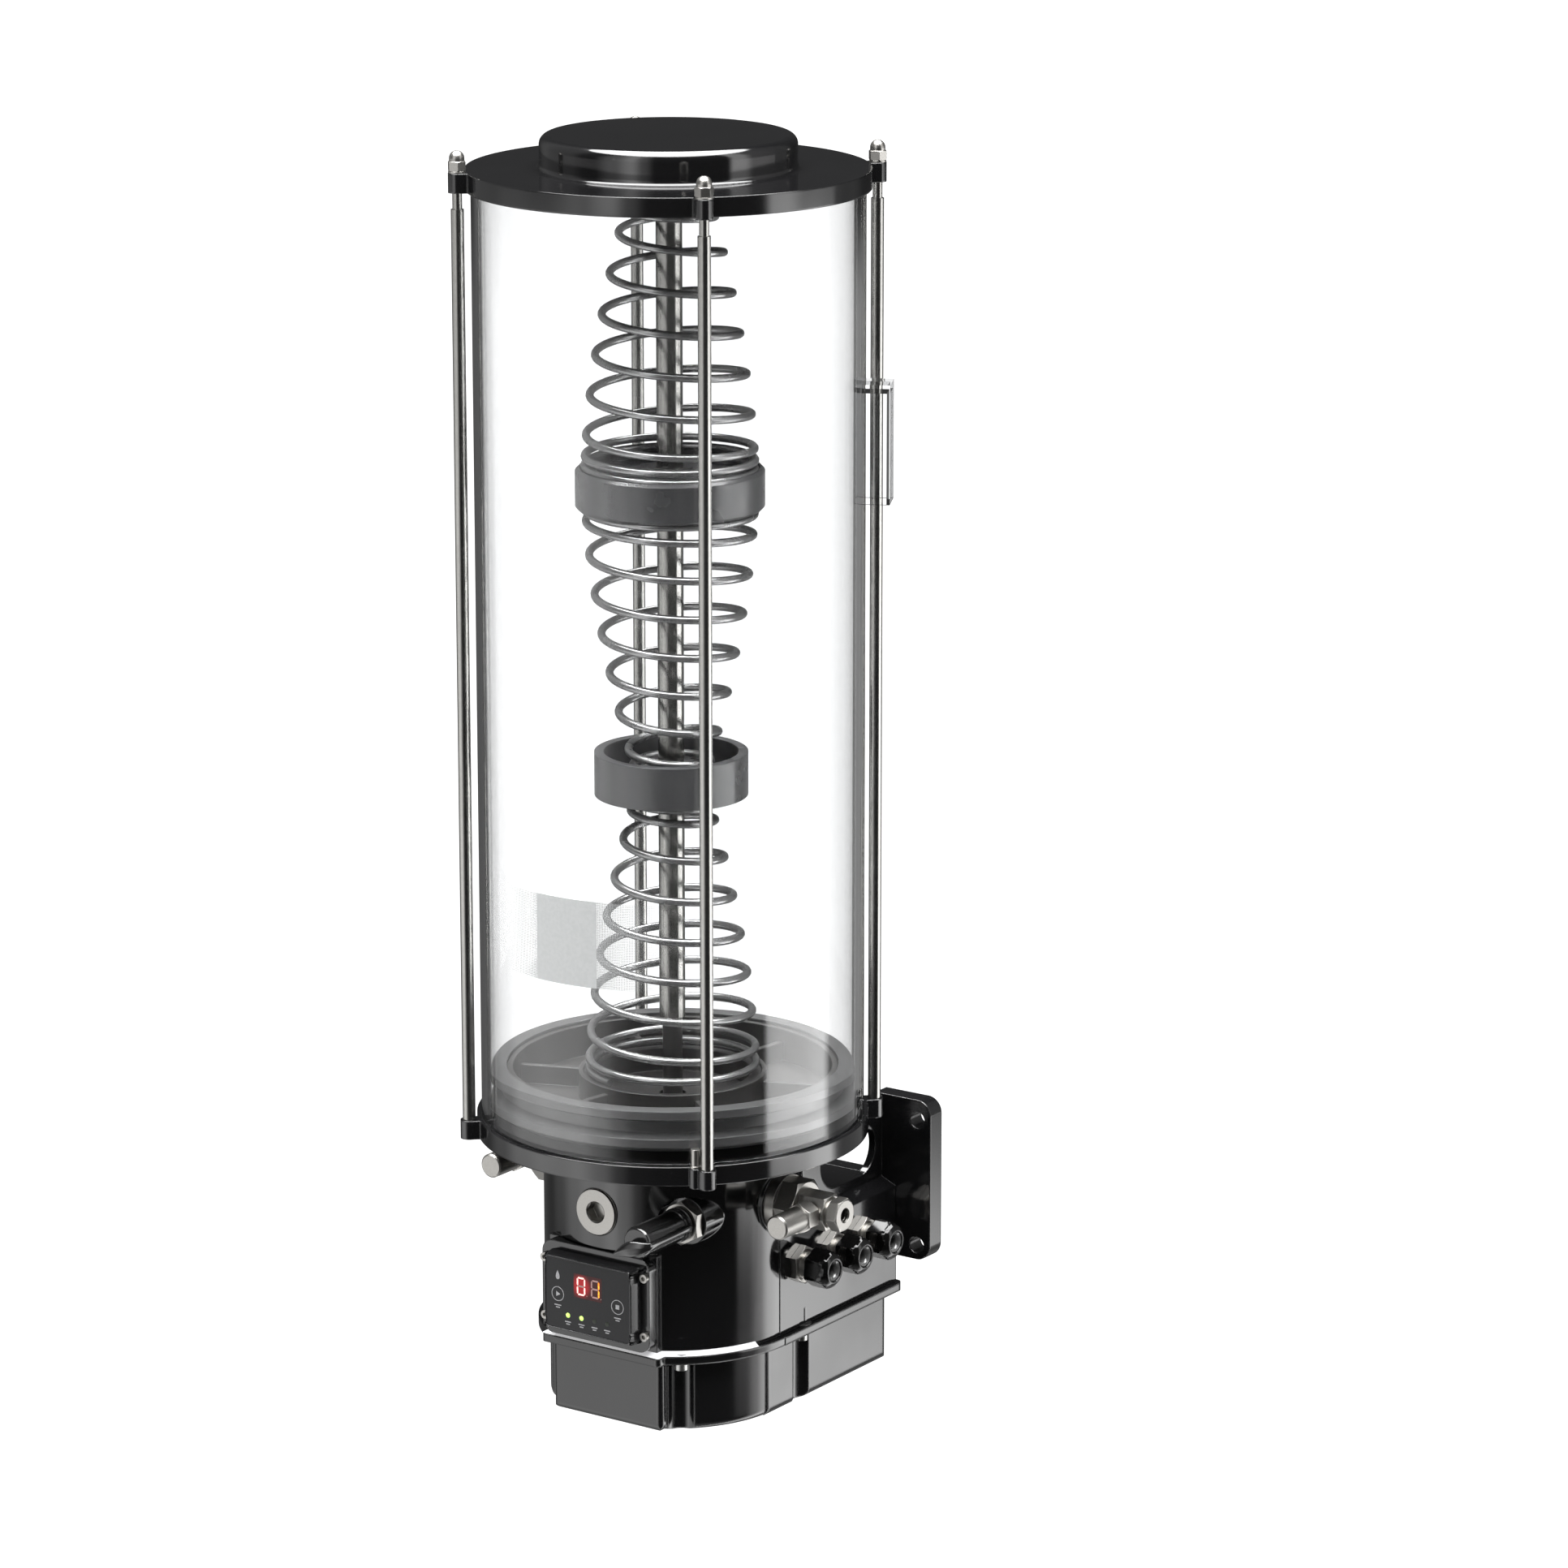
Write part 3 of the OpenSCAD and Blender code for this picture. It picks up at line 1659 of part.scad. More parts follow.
// Glands
gland_hex_t = 5;
gland_neck_t = 5;
gland_nut_t = 16.5;
gland_neck_d = 17;

module gland_places() {
    for (i = [0 : 2])
        translate([box_half, gland_y + i * gland_pitch, gland_z])
            children();
}

module gland_bodies() {
    color(nickel)
        gland_places()
            rotate([0, 90, 0])
                difference() {
                    union() {
                        translate([0, 0, -wall - 3])
                            cylinder(d = gland_thread_d, h = wall + 4);
                        turned_hex(gland_af, gland_hex_t, back = false);
                        cylinder(d = gland_neck_d, h = gland_hex_t + gland_neck_t);
                        cylinder(d = gland_thread_d - 1, h = gland_hex_t + gland_neck_t + 8);
                    }
                    translate([0, 0, -wall - 3 - cut])
                        cylinder(d = gland_thread_d - 4, h = 60);
                }
}

module gland_nuts() {
    color(rubber)
        gland_places()
            rotate([0, 90, 0])
                translate([0, 0, gland_hex_t + gland_neck_t])
                    difference() {
                        turned_hex(gland_nut_af, gland_nut_t, back = false);
                        translate([0, 0, -cut])
                            cylinder(d = gland_thread_d - 1 + 2 * seat_gap, h = 9 + cut);
                        translate([0, 0, -cut])
                            cylinder(d = 14, h = gland_nut_t + 2 * cut);
                    }
}

module gland_seals() {
    color(dark_grey)
        gland_places()
            rotate([0, 90, 0])
                translate([0, 0, gland_hex_t + gland_neck_t + 8.1])
                    ring(7, gland_bore / 2, gland_nut_t - 9);
}

lid();
lid_seal();
reservoir_tube();
tube_seal();
tie_rods();
cap_nuts();
cap_washers();
guide_tube();
guide_pin();
guide_spider();
spring_cup_large();
spring_cup_small();
spring_upper();
spring_middle();
spring_lower();
follower_plate();
follower_seal();
vent_cover();
bleed_screw();
base_flange();
flange_screws();
pump_housing();
wall_bracket();
bottom_cover();
cover_gasket();
cover_screws();
display_frame();
display_case();
display_film();
digit_display();
indicator_leds();
display_screws();
control_board();
power_board();
board_screws();
gearbox();
motor();
motor_screws();
drive_shaft();
shaft_bearing();
shaft_seal();
eccentric();
eccentric_ring();
stirrer();
sealing_plug();
plug_washer();
fill_coupling();
fill_cap();
cap_strap();
pump_element_right();
pump_element_left();
plunger_right();
plunger_left();
relief_valve_right();
relief_valve_left();
outlet_nut_right();
outlet_nut_left();
gland_bodies();
gland_nuts();
gland_seals();
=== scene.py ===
"""Looks of an automatic grease pump with a spring-loaded clear reservoir."""
from __future__ import annotations

import logging
import math
from dataclasses import dataclass, field
from enum import Enum

import bpy
from mathutils import Matrix, Vector


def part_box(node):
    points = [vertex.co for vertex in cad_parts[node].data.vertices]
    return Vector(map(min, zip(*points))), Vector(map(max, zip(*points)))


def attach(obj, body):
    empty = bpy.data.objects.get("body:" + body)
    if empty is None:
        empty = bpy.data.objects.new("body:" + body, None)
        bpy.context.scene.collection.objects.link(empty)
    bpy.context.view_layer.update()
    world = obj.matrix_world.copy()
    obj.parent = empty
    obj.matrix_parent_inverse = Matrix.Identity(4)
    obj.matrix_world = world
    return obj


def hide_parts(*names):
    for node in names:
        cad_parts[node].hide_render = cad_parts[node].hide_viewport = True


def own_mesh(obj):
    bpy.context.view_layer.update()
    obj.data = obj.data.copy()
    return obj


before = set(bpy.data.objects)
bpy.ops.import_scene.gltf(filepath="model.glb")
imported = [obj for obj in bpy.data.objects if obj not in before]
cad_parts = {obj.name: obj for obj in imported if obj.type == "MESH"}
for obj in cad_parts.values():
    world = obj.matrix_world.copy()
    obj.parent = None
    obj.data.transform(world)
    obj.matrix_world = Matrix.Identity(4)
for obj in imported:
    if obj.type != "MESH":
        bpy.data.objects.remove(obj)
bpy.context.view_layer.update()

log = logging.getLogger("grease_pump")
MM = 0.001
BUMP_DEPTH = 0.0001
FLOAT = "NodeSocketFloat"

Point = tuple[float, float]
Socket = bpy.types.NodeSocket


def at_azimuth(angle: float, radius: float, height: float) -> Vector:
    """Gives a point round the pump's axis.

    Args:
        angle: Degrees from the front, towards the outlets' side.
        radius: Distance from the axis, in mm.
        height: Height above the base, in mm.

    Returns:
        The point in metres.
    """
    a = math.radians(angle)
    return Vector((radius * math.sin(a), -radius * math.cos(a), height)) * MM


class Direction(Enum):
    """Where the end of a turned part points, as the turn that takes +Z there."""

    UP = Matrix.Identity(3)
    RIGHT = Matrix.Rotation(math.radians(90), 3, "Y")
    FRONT = Matrix.Rotation(math.radians(90), 3, "X")


class Shape:
    """Points and faces of one piece while it is being built, in mm."""

    def __init__(self, name: str) -> None:
        """Starts an empty piece."""
        self.name = name
        self.points: list[Vector] = []
        self.faces: list[tuple[int, ...]] = []

    def add(self, points: list[Vector], faces: list[tuple[int, ...]], place: Vector,
            direction: Direction = Direction.UP, turn: float = 0.0) -> None:
        """Adds a body to the piece.

        Args:
            points: Its corners, in mm.
            faces: Its faces, as places in that list.
            place: Where its origin goes, in mm.
            direction: Where its +Z axis points.
            turn: Degrees that it is turned about its own axis first.
        """
        first = len(self.points)
        spin = direction.value @ Matrix.Rotation(math.radians(turn), 3, "Z")
        self.points += [spin @ p + place for p in points]
        self.faces += [tuple(first + i for i in f) for f in faces]

    @staticmethod
    def skin(rows: int, width: int, closed: bool = False) -> list[tuple[int, ...]]:
        """Gives the faces between rows of as many points each.

        Args:
            rows: Number of rows.
            width: Points of each row, counter-clockwise as seen from the last row.
            closed: True if the last row joins the first, or else both ends get a face.

        Returns:
            The faces, as places in the list of points.
        """
        faces: list[tuple[int, ...]] = []
        for row in range(rows if closed else rows - 1):
            low, high = row * width, (row + 1) % rows * width
            for i in range(width):
                j = (i + 1) % width
                faces.append((low + i, low + j, high + j, high + i))
        if not closed:
            faces.append(tuple(reversed(range(width))))
            faces.append(tuple(range((rows - 1) * width, rows * width)))
        return faces

    def turned(self, profile: tuple[Point, ...], place: Vector = Vector(),
               direction: Direction = Direction.UP, flats: float = 0.0,
               turn: float = 0.0, steps: int = 96, closed: bool = False) -> None:
        """Adds a body of revolution, whose wide parts may be milled to a hexagon.

        Args:
            profile: (radius, height) points from the low end to the high end.
            place: Where its origin goes, in mm.
            direction: Where its +Z axis points.
            flats: Width across the flats, or 0 for a round body.
            turn: Degrees that the hexagon is turned about the axis.
            steps: Sides of the round body.
            closed: True for a ring, whose last point joins its first.
        """
        points: list[Vector] = []
        side = math.radians(60)
        for radius, height in profile:
            for i in range(steps):
                a = 2 * math.pi * i / steps
                r = radius
                if flats:
                    off = (a + side / 2) % side - side / 2
                    r = min(r, flats / 2 / math.cos(off))
                points.append(Vector((r * math.cos(a), r * math.sin(a), height)))
        self.add(points, self.skin(len(profile), steps, closed), place, direction, turn)

    def swept(self, path: list[Vector], radius: float, sides: int = 16) -> None:
        """Adds a round wire along a path with closed ends.

        Args:
            path: Points of the wire's centre line, in mm.
            radius: Radius of the wire.
            sides: Sides of its section.
        """
        up = Vector((0, 0, 1))
        self.strap([(point, up, radius, radius) for point in path], sides, 1.0)

    def layered(self, outlines: list[tuple[list[Point], float]], place: Vector = Vector(),
                direction: Direction = Direction.UP) -> None:
        """Adds a solid through outlines of as many corners each, closed at both ends.

        Args:
            outlines: (counter-clockwise corners, height) of each, in mm.
            place: Where its origin goes, in mm.
            direction: Where its +Z axis points.
        """
        points = [Vector((x, y, z)) for outline, z in outlines for x, y in outline]
        self.add(points, self.skin(len(outlines), len(outlines[0][0])), place, direction)

    def strap(self, stations: list[tuple[Vector, Vector, float, float]],
              sides: int = 20, power: float = 0.7) -> None:
        """Adds a soft-edged strap whose size changes along its way.

        Args:
            stations: (middle, outward direction, half width, half thickness) in mm.
            sides: Sides of its section.
            power: 1 for an oval section, less for a squarer one.
        """
        points: list[Vector] = []
        last = len(stations) - 1
        for i, (middle, out, wide, thick) in enumerate(stations):
            along = stations[min(i + 1, last)][0] - stations[max(i - 1, 0)][0]
            across = along.cross(out).normalized()
            away = across.cross(along).normalized()
            for k in range(sides):
                a = 2 * math.pi * k / sides
                c, d = (math.copysign(abs(v) ** power, v) for v in (math.cos(a), math.sin(a)))
                points.append(middle + wide * c * across + thick * d * away)
        self.add(points, self.skin(len(stations), sides), Vector())

    def wrapped(self, radius: float, thick: float, angles: Point, heights: Point,
                steps: int = 60) -> None:
        """Adds a thin film that lies round the pump's axis.

        Args:
            radius: Radius of its inner face, in mm.
            thick: Its thickness.
            angles: Its first and last azimuth, in degrees.
            heights: Its lower and upper edge.
            steps: Pieces that the arc is made of.
        """
        points: list[Vector] = []
        for i in range(steps + 1):
            angle = angles[0] + (angles[1] - angles[0]) * i / steps
            for r, z in ((radius, heights[0]), (radius + thick, heights[0]),
                         (radius + thick, heights[1]), (radius, heights[1])):
                points.append(at_azimuth(angle, r, z) / MM)
        self.add(points, self.skin(steps + 1, 4), Vector())

    def build(self, finish: Finish, slot: str, replaces: tuple[str, ...] = (),
              body: str = "pump", crease: float = 35.0) -> bpy.types.Object:
        """Makes the object and sets it on its body.

        Args:
            finish: Its finish.
            slot: A material slot name for its finish; not used.
            replaces: CAD nodes that it stands for.
            body: The CAD body that it rides on.
            crease: Degrees above which an edge stays sharp.

        Returns:
            The new object.
        """
        mesh = bpy.data.meshes.new(self.name)
        mesh.from_pydata([p * MM for p in self.points], [], self.faces)
        mesh.validate()
        mesh.shade_smooth()
        mesh.set_sharp_from_angle(angle=math.radians(crease))
        mesh.materials.append(finish.material())
        piece = bpy.data.objects.new(self.name, mesh)
        bpy.context.scene.collection.objects.link(piece)
        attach(piece, body)
        if replaces:
            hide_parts(*replaces)
        log.info("%s: %d faces", self.name, len(mesh.polygons))
        return piece


class Tree:
    """Adds nodes to a node tree and joins them."""

    def __init__(self, tree: bpy.types.NodeTree) -> None:
        """Keeps the tree."""
        self.tree = tree

    def node(self, kind: str, **values: object) -> bpy.types.Node:
        """Adds a node.

        Args:
            kind: Blender's name of the node's type.
            **values: Its properties, such as operation.

        Returns:
            The new node.
        """
        node = self.tree.nodes.new(kind)
        for name, value in values.items():
            setattr(node, name, value)
        return node

    def feed(self, socket: Socket, value: Socket | float | tuple[float, ...]) -> None:
        """Joins an output to a socket, or sets the socket to a value."""
        if isinstance(value, bpy.types.NodeSocket):
            self.tree.links.new(value, socket)
        else:
            socket.default_value = value

    def math(self, operation: str, *values: Socket | float) -> Socket:
        """Adds a Math node.

        Args:
            operation: Its operation.
            *values: Its inputs in order.

        Returns:
            Its result.
        """
        node = self.node("ShaderNodeMath", operation=operation)
        for socket, value in zip(node.inputs, values):
            self.feed(socket, value)
        return node.outputs[0]

    def span(self, value: Socket, low: float, high: float, to_low: float = 0.0,
             to_high: float = 1.0) -> Socket:
        """Maps a range of values to another with soft ends.

        Args:
            value: The value.
            low: Start of its range.
            high: End of its range.
            to_low: Result at the start.
            to_high: Result at the end.

        Returns:
            The mapped value.
        """
        node = self.node("ShaderNodeMapRange", interpolation_type="SMOOTHSTEP")
        for socket, part in zip(node.inputs, (value, low, high, to_low, to_high)):
            self.feed(socket, part)
        return node.outputs[0]

    def mix(self, share: Socket | float, first: Socket | tuple[float, ...],
            second: Socket | tuple[float, ...]) -> Socket:
        """Mixes two colours.

        Args:
            share: Share of the second colour.
            first: The first colour.
            second: The second colour.

        Returns:
            The mixed colour.
        """
        node = self.node("ShaderNodeMix", data_type="RGBA")
        self.feed(node.inputs[0], share)
        self.feed(node.inputs[6], first)
        self.feed(node.inputs[7], second)
        return node.outputs[2]

    def place(self) -> Socket:
        """Gives the shaded point in its object's own frame."""
        return self.node("ShaderNodeTexCoord").outputs["Object"]

    def parts(self, vector: Socket) -> tuple[Socket, Socket, Socket]:
        """Gives a vector's three parts."""
        node = self.node("ShaderNodeSeparateXYZ")
        self.feed(node.inputs[0], vector)
        return tuple(node.outputs)

    def azimuth(self, x: Socket, y: Socket) -> Socket:
        """Gives the angle round the pump's axis from its front, in radians."""
        return self.math("ARCTAN2", x, self.math("MULTIPLY", y, -1.0))

    def noise(self, place: Socket, scale: Socket, detail: float) -> Socket:
        """Adds a noise texture.

        Args:
            place: Where it is read.
            scale: Its scale.
            detail: Its detail.

        Returns:
            Its value.
        """
        node = self.node("ShaderNodeTexNoise")
        self.feed(node.inputs["Vector"], place)
        self.feed(node.inputs["Scale"], scale)
        self.feed(node.inputs["Detail"], detail)
        return node.outputs[0]


class Effect(Enum):
    """Shader node groups that several finishes share."""

    GRAIN = "fine_grain"
    EDGES = "soft_edges"
    TURNING = "turning_lines"
    GLOSS = "uneven_gloss"


class Effects:
    """Builds each shared shader group once."""

    def __init__(self) -> None:
        """Starts with no groups."""
        self.made: dict[Effect, bpy.types.NodeTree] = {}

    def get(self, effect: Effect) -> bpy.types.NodeTree:
        """Gives a group, and builds it if it isn't there yet."""
        if effect not in self.made:
            builders = {Effect.GRAIN: self.grain, Effect.EDGES: self.edges,
                        Effect.TURNING: self.turning, Effect.GLOSS: self.gloss}
            self.made[effect] = builders[effect]()
        return self.made[effect]

    @staticmethod
    def start(effect: Effect, given: str, value: float,
              outputs: dict[str, str]) -> tuple[Tree, Socket, bpy.types.Node]:
        """Makes an empty group with its sockets.

        Args:
            effect: The group.
            given: Name of its input.
            value: First value of its input.
            outputs: Names and socket types of its outputs.

        Returns:
            The group's tree, its input and its output node.
        """
        group = bpy.data.node_groups.new(effect.value, "ShaderNodeTree")
        socket = group.interface.new_socket(name=given, in_out="INPUT", socket_type=FLOAT)
        socket.default_value = value
        for name, kind in outputs.items():
            group.interface.new_socket(name=name, in_out="OUTPUT", socket_type=kind)
        tree = Tree(group)
        return tree, tree.node("NodeGroupInput").outputs[0], tree.node("NodeGroupOutput")

    def grain(self) -> bpy.types.NodeTree:
        """Builds the fine bumps of a casting or a moulding."""
        tree, scale, out = self.start(Effect.GRAIN, "Scale", 900.0,
                                      {"Height": FLOAT, "Shade": FLOAT})
        noise = tree.noise(tree.place(), scale, 2.0)
        tree.feed(out.inputs["Height"], noise)
        tree.feed(out.inputs["Shade"], tree.span(noise, 0.3, 0.7))
        return tree.tree

    def edges(self) -> bpy.types.NodeTree:
        """Builds the soft edges of a casting."""
        tree, radius, out = self.start(Effect.EDGES, "Radius", 0.0012,
                                       {"Normal": "NodeSocketVector"})
        bevel = tree.node("ShaderNodeBevel", samples=6)
        tree.feed(bevel.inputs["Radius"], radius)
        tree.feed(out.inputs["Normal"], bevel.outputs[0])
        return tree.tree

    def turning(self) -> bpy.types.NodeTree:
        """Builds fine tool lines round the upright axis, as a turned part has."""
        tree, lines, out = self.start(Effect.TURNING, "Lines", 1400.0,
                                      {"Height": FLOAT, "Shade": FLOAT})
        x, y, z = tree.parts(tree.place())
        squares = (tree.math("POWER", part, 2.0) for part in (x, y))
        place = tree.node("ShaderNodeCombineXYZ")
        tree.feed(place.inputs[0], tree.math("SQRT", tree.math("ADD", *squares)))
        tree.feed(place.inputs[2], z)
        noise = tree.noise(place.outputs[0], lines, 1.0)
        tree.feed(out.inputs["Height"], noise)
        tree.feed(out.inputs["Shade"], tree.span(noise, 0.35, 0.65))
        return tree.tree

    def gloss(self) -> bpy.types.NodeTree:
        """Builds the slow unevenness of a gloss, as of handling."""
        tree, scale, out = self.start(Effect.GLOSS, "Scale", 14.0, {"Mask": FLOAT})
        noise = tree.noise(tree.place(), scale, 4.0)
        tree.feed(out.inputs["Mask"], tree.span(noise, 0.35, 0.65))
        return tree.tree


EFFECTS = Effects()
MATERIALS: dict[str, bpy.types.Material] = {}
Colour = tuple[float, float, float]


def solid(colour: Colour) -> tuple[float, float, float, float]:
    """Gives a colour its full cover."""
    return (*colour, 1.0)


@dataclass(frozen=True)
class Finish:
    """A finish of the pump's parts, which makes one material."""

    name: str
    colour: Colour
    second: Colour
    roughness: tuple[float, float] = (0.3, 0.4)
    metallic: float = 0.0
    specular: float = 0.5
    grain: float = 900.0
    bump: float = 0.05
    edge: float = 0.0
    turned: float = 0.0
    handling: float = 14.0

    def material(self) -> bpy.types.Material:
        """Gives the material, and makes it the first time."""
        if self.name not in MATERIALS:
            MATERIALS[self.name] = self.make()
        return MATERIALS[self.name]

    def start(self) -> tuple[bpy.types.Material, Tree, Socket]:
        """Makes a material whose gloss is uneven.

        Returns:
            The material, its tree and the mask of the uneven gloss.
        """
        made = bpy.data.materials.new("pump_" + self.name)
        made.use_nodes = True
        tree = Tree(made.node_tree)
        mask = self.placed(tree, Effect.GLOSS, self.handling).outputs["Mask"]
        tree.feed(self.inputs(made)["Roughness"], tree.span(mask, 0.0, 1.0, *self.roughness))
        return made, tree, mask

    @staticmethod
    def inputs(made: bpy.types.Material) -> bpy.types.bpy_prop_collection:
        """Gives the inputs of a material's shader."""
        return made.node_tree.nodes["Principled BSDF"].inputs

    def make(self) -> bpy.types.Material:
        """Makes the material.

        Returns:
            The new material.
        """
        made, tree, _ = self.start()
        inputs = self.inputs(made)
        made.diffuse_color = solid(self.colour)
        pattern = self.placed(tree, Effect.TURNING if self.turned else Effect.GRAIN,
                              self.turned or self.grain)
        tree.feed(inputs["Base Color"], tree.mix(pattern.outputs["Shade"], solid(self.colour),
                                                 solid(self.second)))
        bump = tree.node("ShaderNodeBump")
        bump.inputs["Strength"].default_value = self.bump
        bump.inputs["Distance"].default_value = BUMP_DEPTH
        tree.feed(bump.inputs["Height"], pattern.outputs["Height"])
        if self.edge:
            edges = self.placed(tree, Effect.EDGES, self.edge)
            tree.feed(bump.inputs["Normal"], edges.outputs["Normal"])
        tree.feed(inputs["Normal"], bump.outputs[0])
        inputs["Metallic"].default_value = self.metallic
        inputs["Specular IOR Level"].default_value = self.specular
        return made

    @staticmethod
    def placed(tree: Tree, effect: Effect, value: float) -> bpy.types.Node:
        """Places a shared group with its first input set.

        Args:
            tree: The material's tree.
            effect: The group.
            value: Its first input.

        Returns:
            The group node.
        """
        node = tree.node("ShaderNodeGroup")
        node.node_tree = EFFECTS.get(effect)
        node.inputs[0].default_value = value
        return node


@dataclass(frozen=True)
class ClearFinish(Finish):
    """A clear plastic that shadows pass through."""

    handling: float = 6.0
    index: float = 1.49

    def make(self) -> bpy.types.Material:
        """Makes the material.

        Returns:
            The new material.
        """
        made, tree, mask = self.start()
        inputs = self.inputs(made)
        tree.feed(inputs["Base Color"], tree.mix(mask, solid(self.colour), solid(self.second)))
        inputs["Transmission Weight"].default_value = 1.0
        inputs["IOR"].default_value = self.index
        clear = tree.node("ShaderNodeBsdfTransparent")
        clear.inputs[0].default_value = solid(self.colour)
        out = made.node_tree.nodes["Material Output"].inputs["Surface"]
        both = tree.node("ShaderNodeMixShader")
        tree.feed(both.inputs[0], tree.node("ShaderNodeLightPath").outputs["Is Shadow Ray"])
        tree.feed(both.inputs[1], out.links[0].from_socket)
        tree.feed(both.inputs[2], clear.outputs[0])
        tree.feed(out, both.outputs[0])
        return made


@dataclass(frozen=True)
class LitFinish(Finish):
    """A finish that gives off light of its own colour."""

    glow: float = 1.0

    def make(self) -> bpy.types.Material:
        """Makes the material.

        Returns:
            The new material.
        """
        made = super().make()
        inputs = self.inputs(made)
        source = inputs["Base Color"].links[0].from_socket
        Tree(made.node_tree).feed(inputs["Emission Color"], source)
        inputs["Emission Strength"].default_value = self.glow
        return made


@dataclass(frozen=True)
class FilmFinish(Finish):
    """A pale film whose print thins out in small squares towards its ends."""

    full: Point = (-7.4, 13.3)
    fade: Point = (16.0, 26.0)
    pitch: float = 0.00105
    most: float = 0.55
    square: float = 0.44
    shrink: float = 0.34
    radius: float = 0.12

    def make(self) -> bpy.types.Material:
        """Makes the material.

        Returns:
            The new material.
        """
        made = super().make()
        tree = Tree(made.node_tree)
        x, y, z = tree.parts(tree.place())
        turn = tree.azimuth(x, y)
        angle = tree.math("MULTIPLY", turn, 180 / math.pi)
        before = tree.math("SUBTRACT", self.full[0], angle)
        after = tree.math("SUBTRACT", angle, self.full[1])
        away = tree.math("MAXIMUM", tree.math("DIVIDE", before, self.fade[0]),
                         tree.math("DIVIDE", after, self.fade[1]))
        half = tree.math("SUBTRACT", self.square, tree.math("MULTIPLY", away, self.shrink))
        across = self.off_middle(tree, tree.math("MULTIPLY", turn, self.radius / self.pitch))
        upward = self.off_middle(tree, tree.math("DIVIDE", z, self.pitch))
        square = tree.math("LESS_THAN", tree.math("MAXIMUM", across, upward), half)
        dense = tree.math("LESS_THAN", away, 0.0)
        thin = tree.math("MULTIPLY", square, tree.span(away, 1.0, 0.0, 0.0, self.most))
        tree.feed(self.inputs(made)["Alpha"], tree.math("MAXIMUM", dense, thin))
        return made

    @staticmethod
    def off_middle(tree: Tree, value: Socket) -> Socket:
        """Gives how far a value is from the middle of its step of 1."""
        part = tree.math("FRACT", value)
        return tree.math("ABSOLUTE", tree.math("SUBTRACT", part, 0.5))


@dataclass(frozen=True)
class GlowFinish(Finish):
    """A dark window with the glow of a lit figure behind it."""

    middle: tuple[float, float, float] = (0.0, 0.0, 0.0)
    reach: float = 0.009
    heart: float = 0.35
    glow: float = 0.55
    faint: Colour = (0.05, 0.0, 0.0)
    bright: Colour = (0.75, 0.012, 0.02)

    def make(self) -> bpy.types.Material:
        """Makes the material.

        Returns:
            The new material.
        """
        made = super().make()
        tree = Tree(made.node_tree)
        far = tree.node("ShaderNodeVectorMath", operation="DISTANCE")
        tree.feed(far.inputs[0], tree.place())
        far.inputs[1].default_value = self.middle
        near = tree.span(far.outputs["Value"], self.reach, self.reach * self.heart)
        inputs = self.inputs(made)
        tree.feed(inputs["Emission Color"],
                  tree.mix(near, solid(self.faint), solid(self.bright)))
        inputs["Emission Strength"].default_value = self.glow
        return made


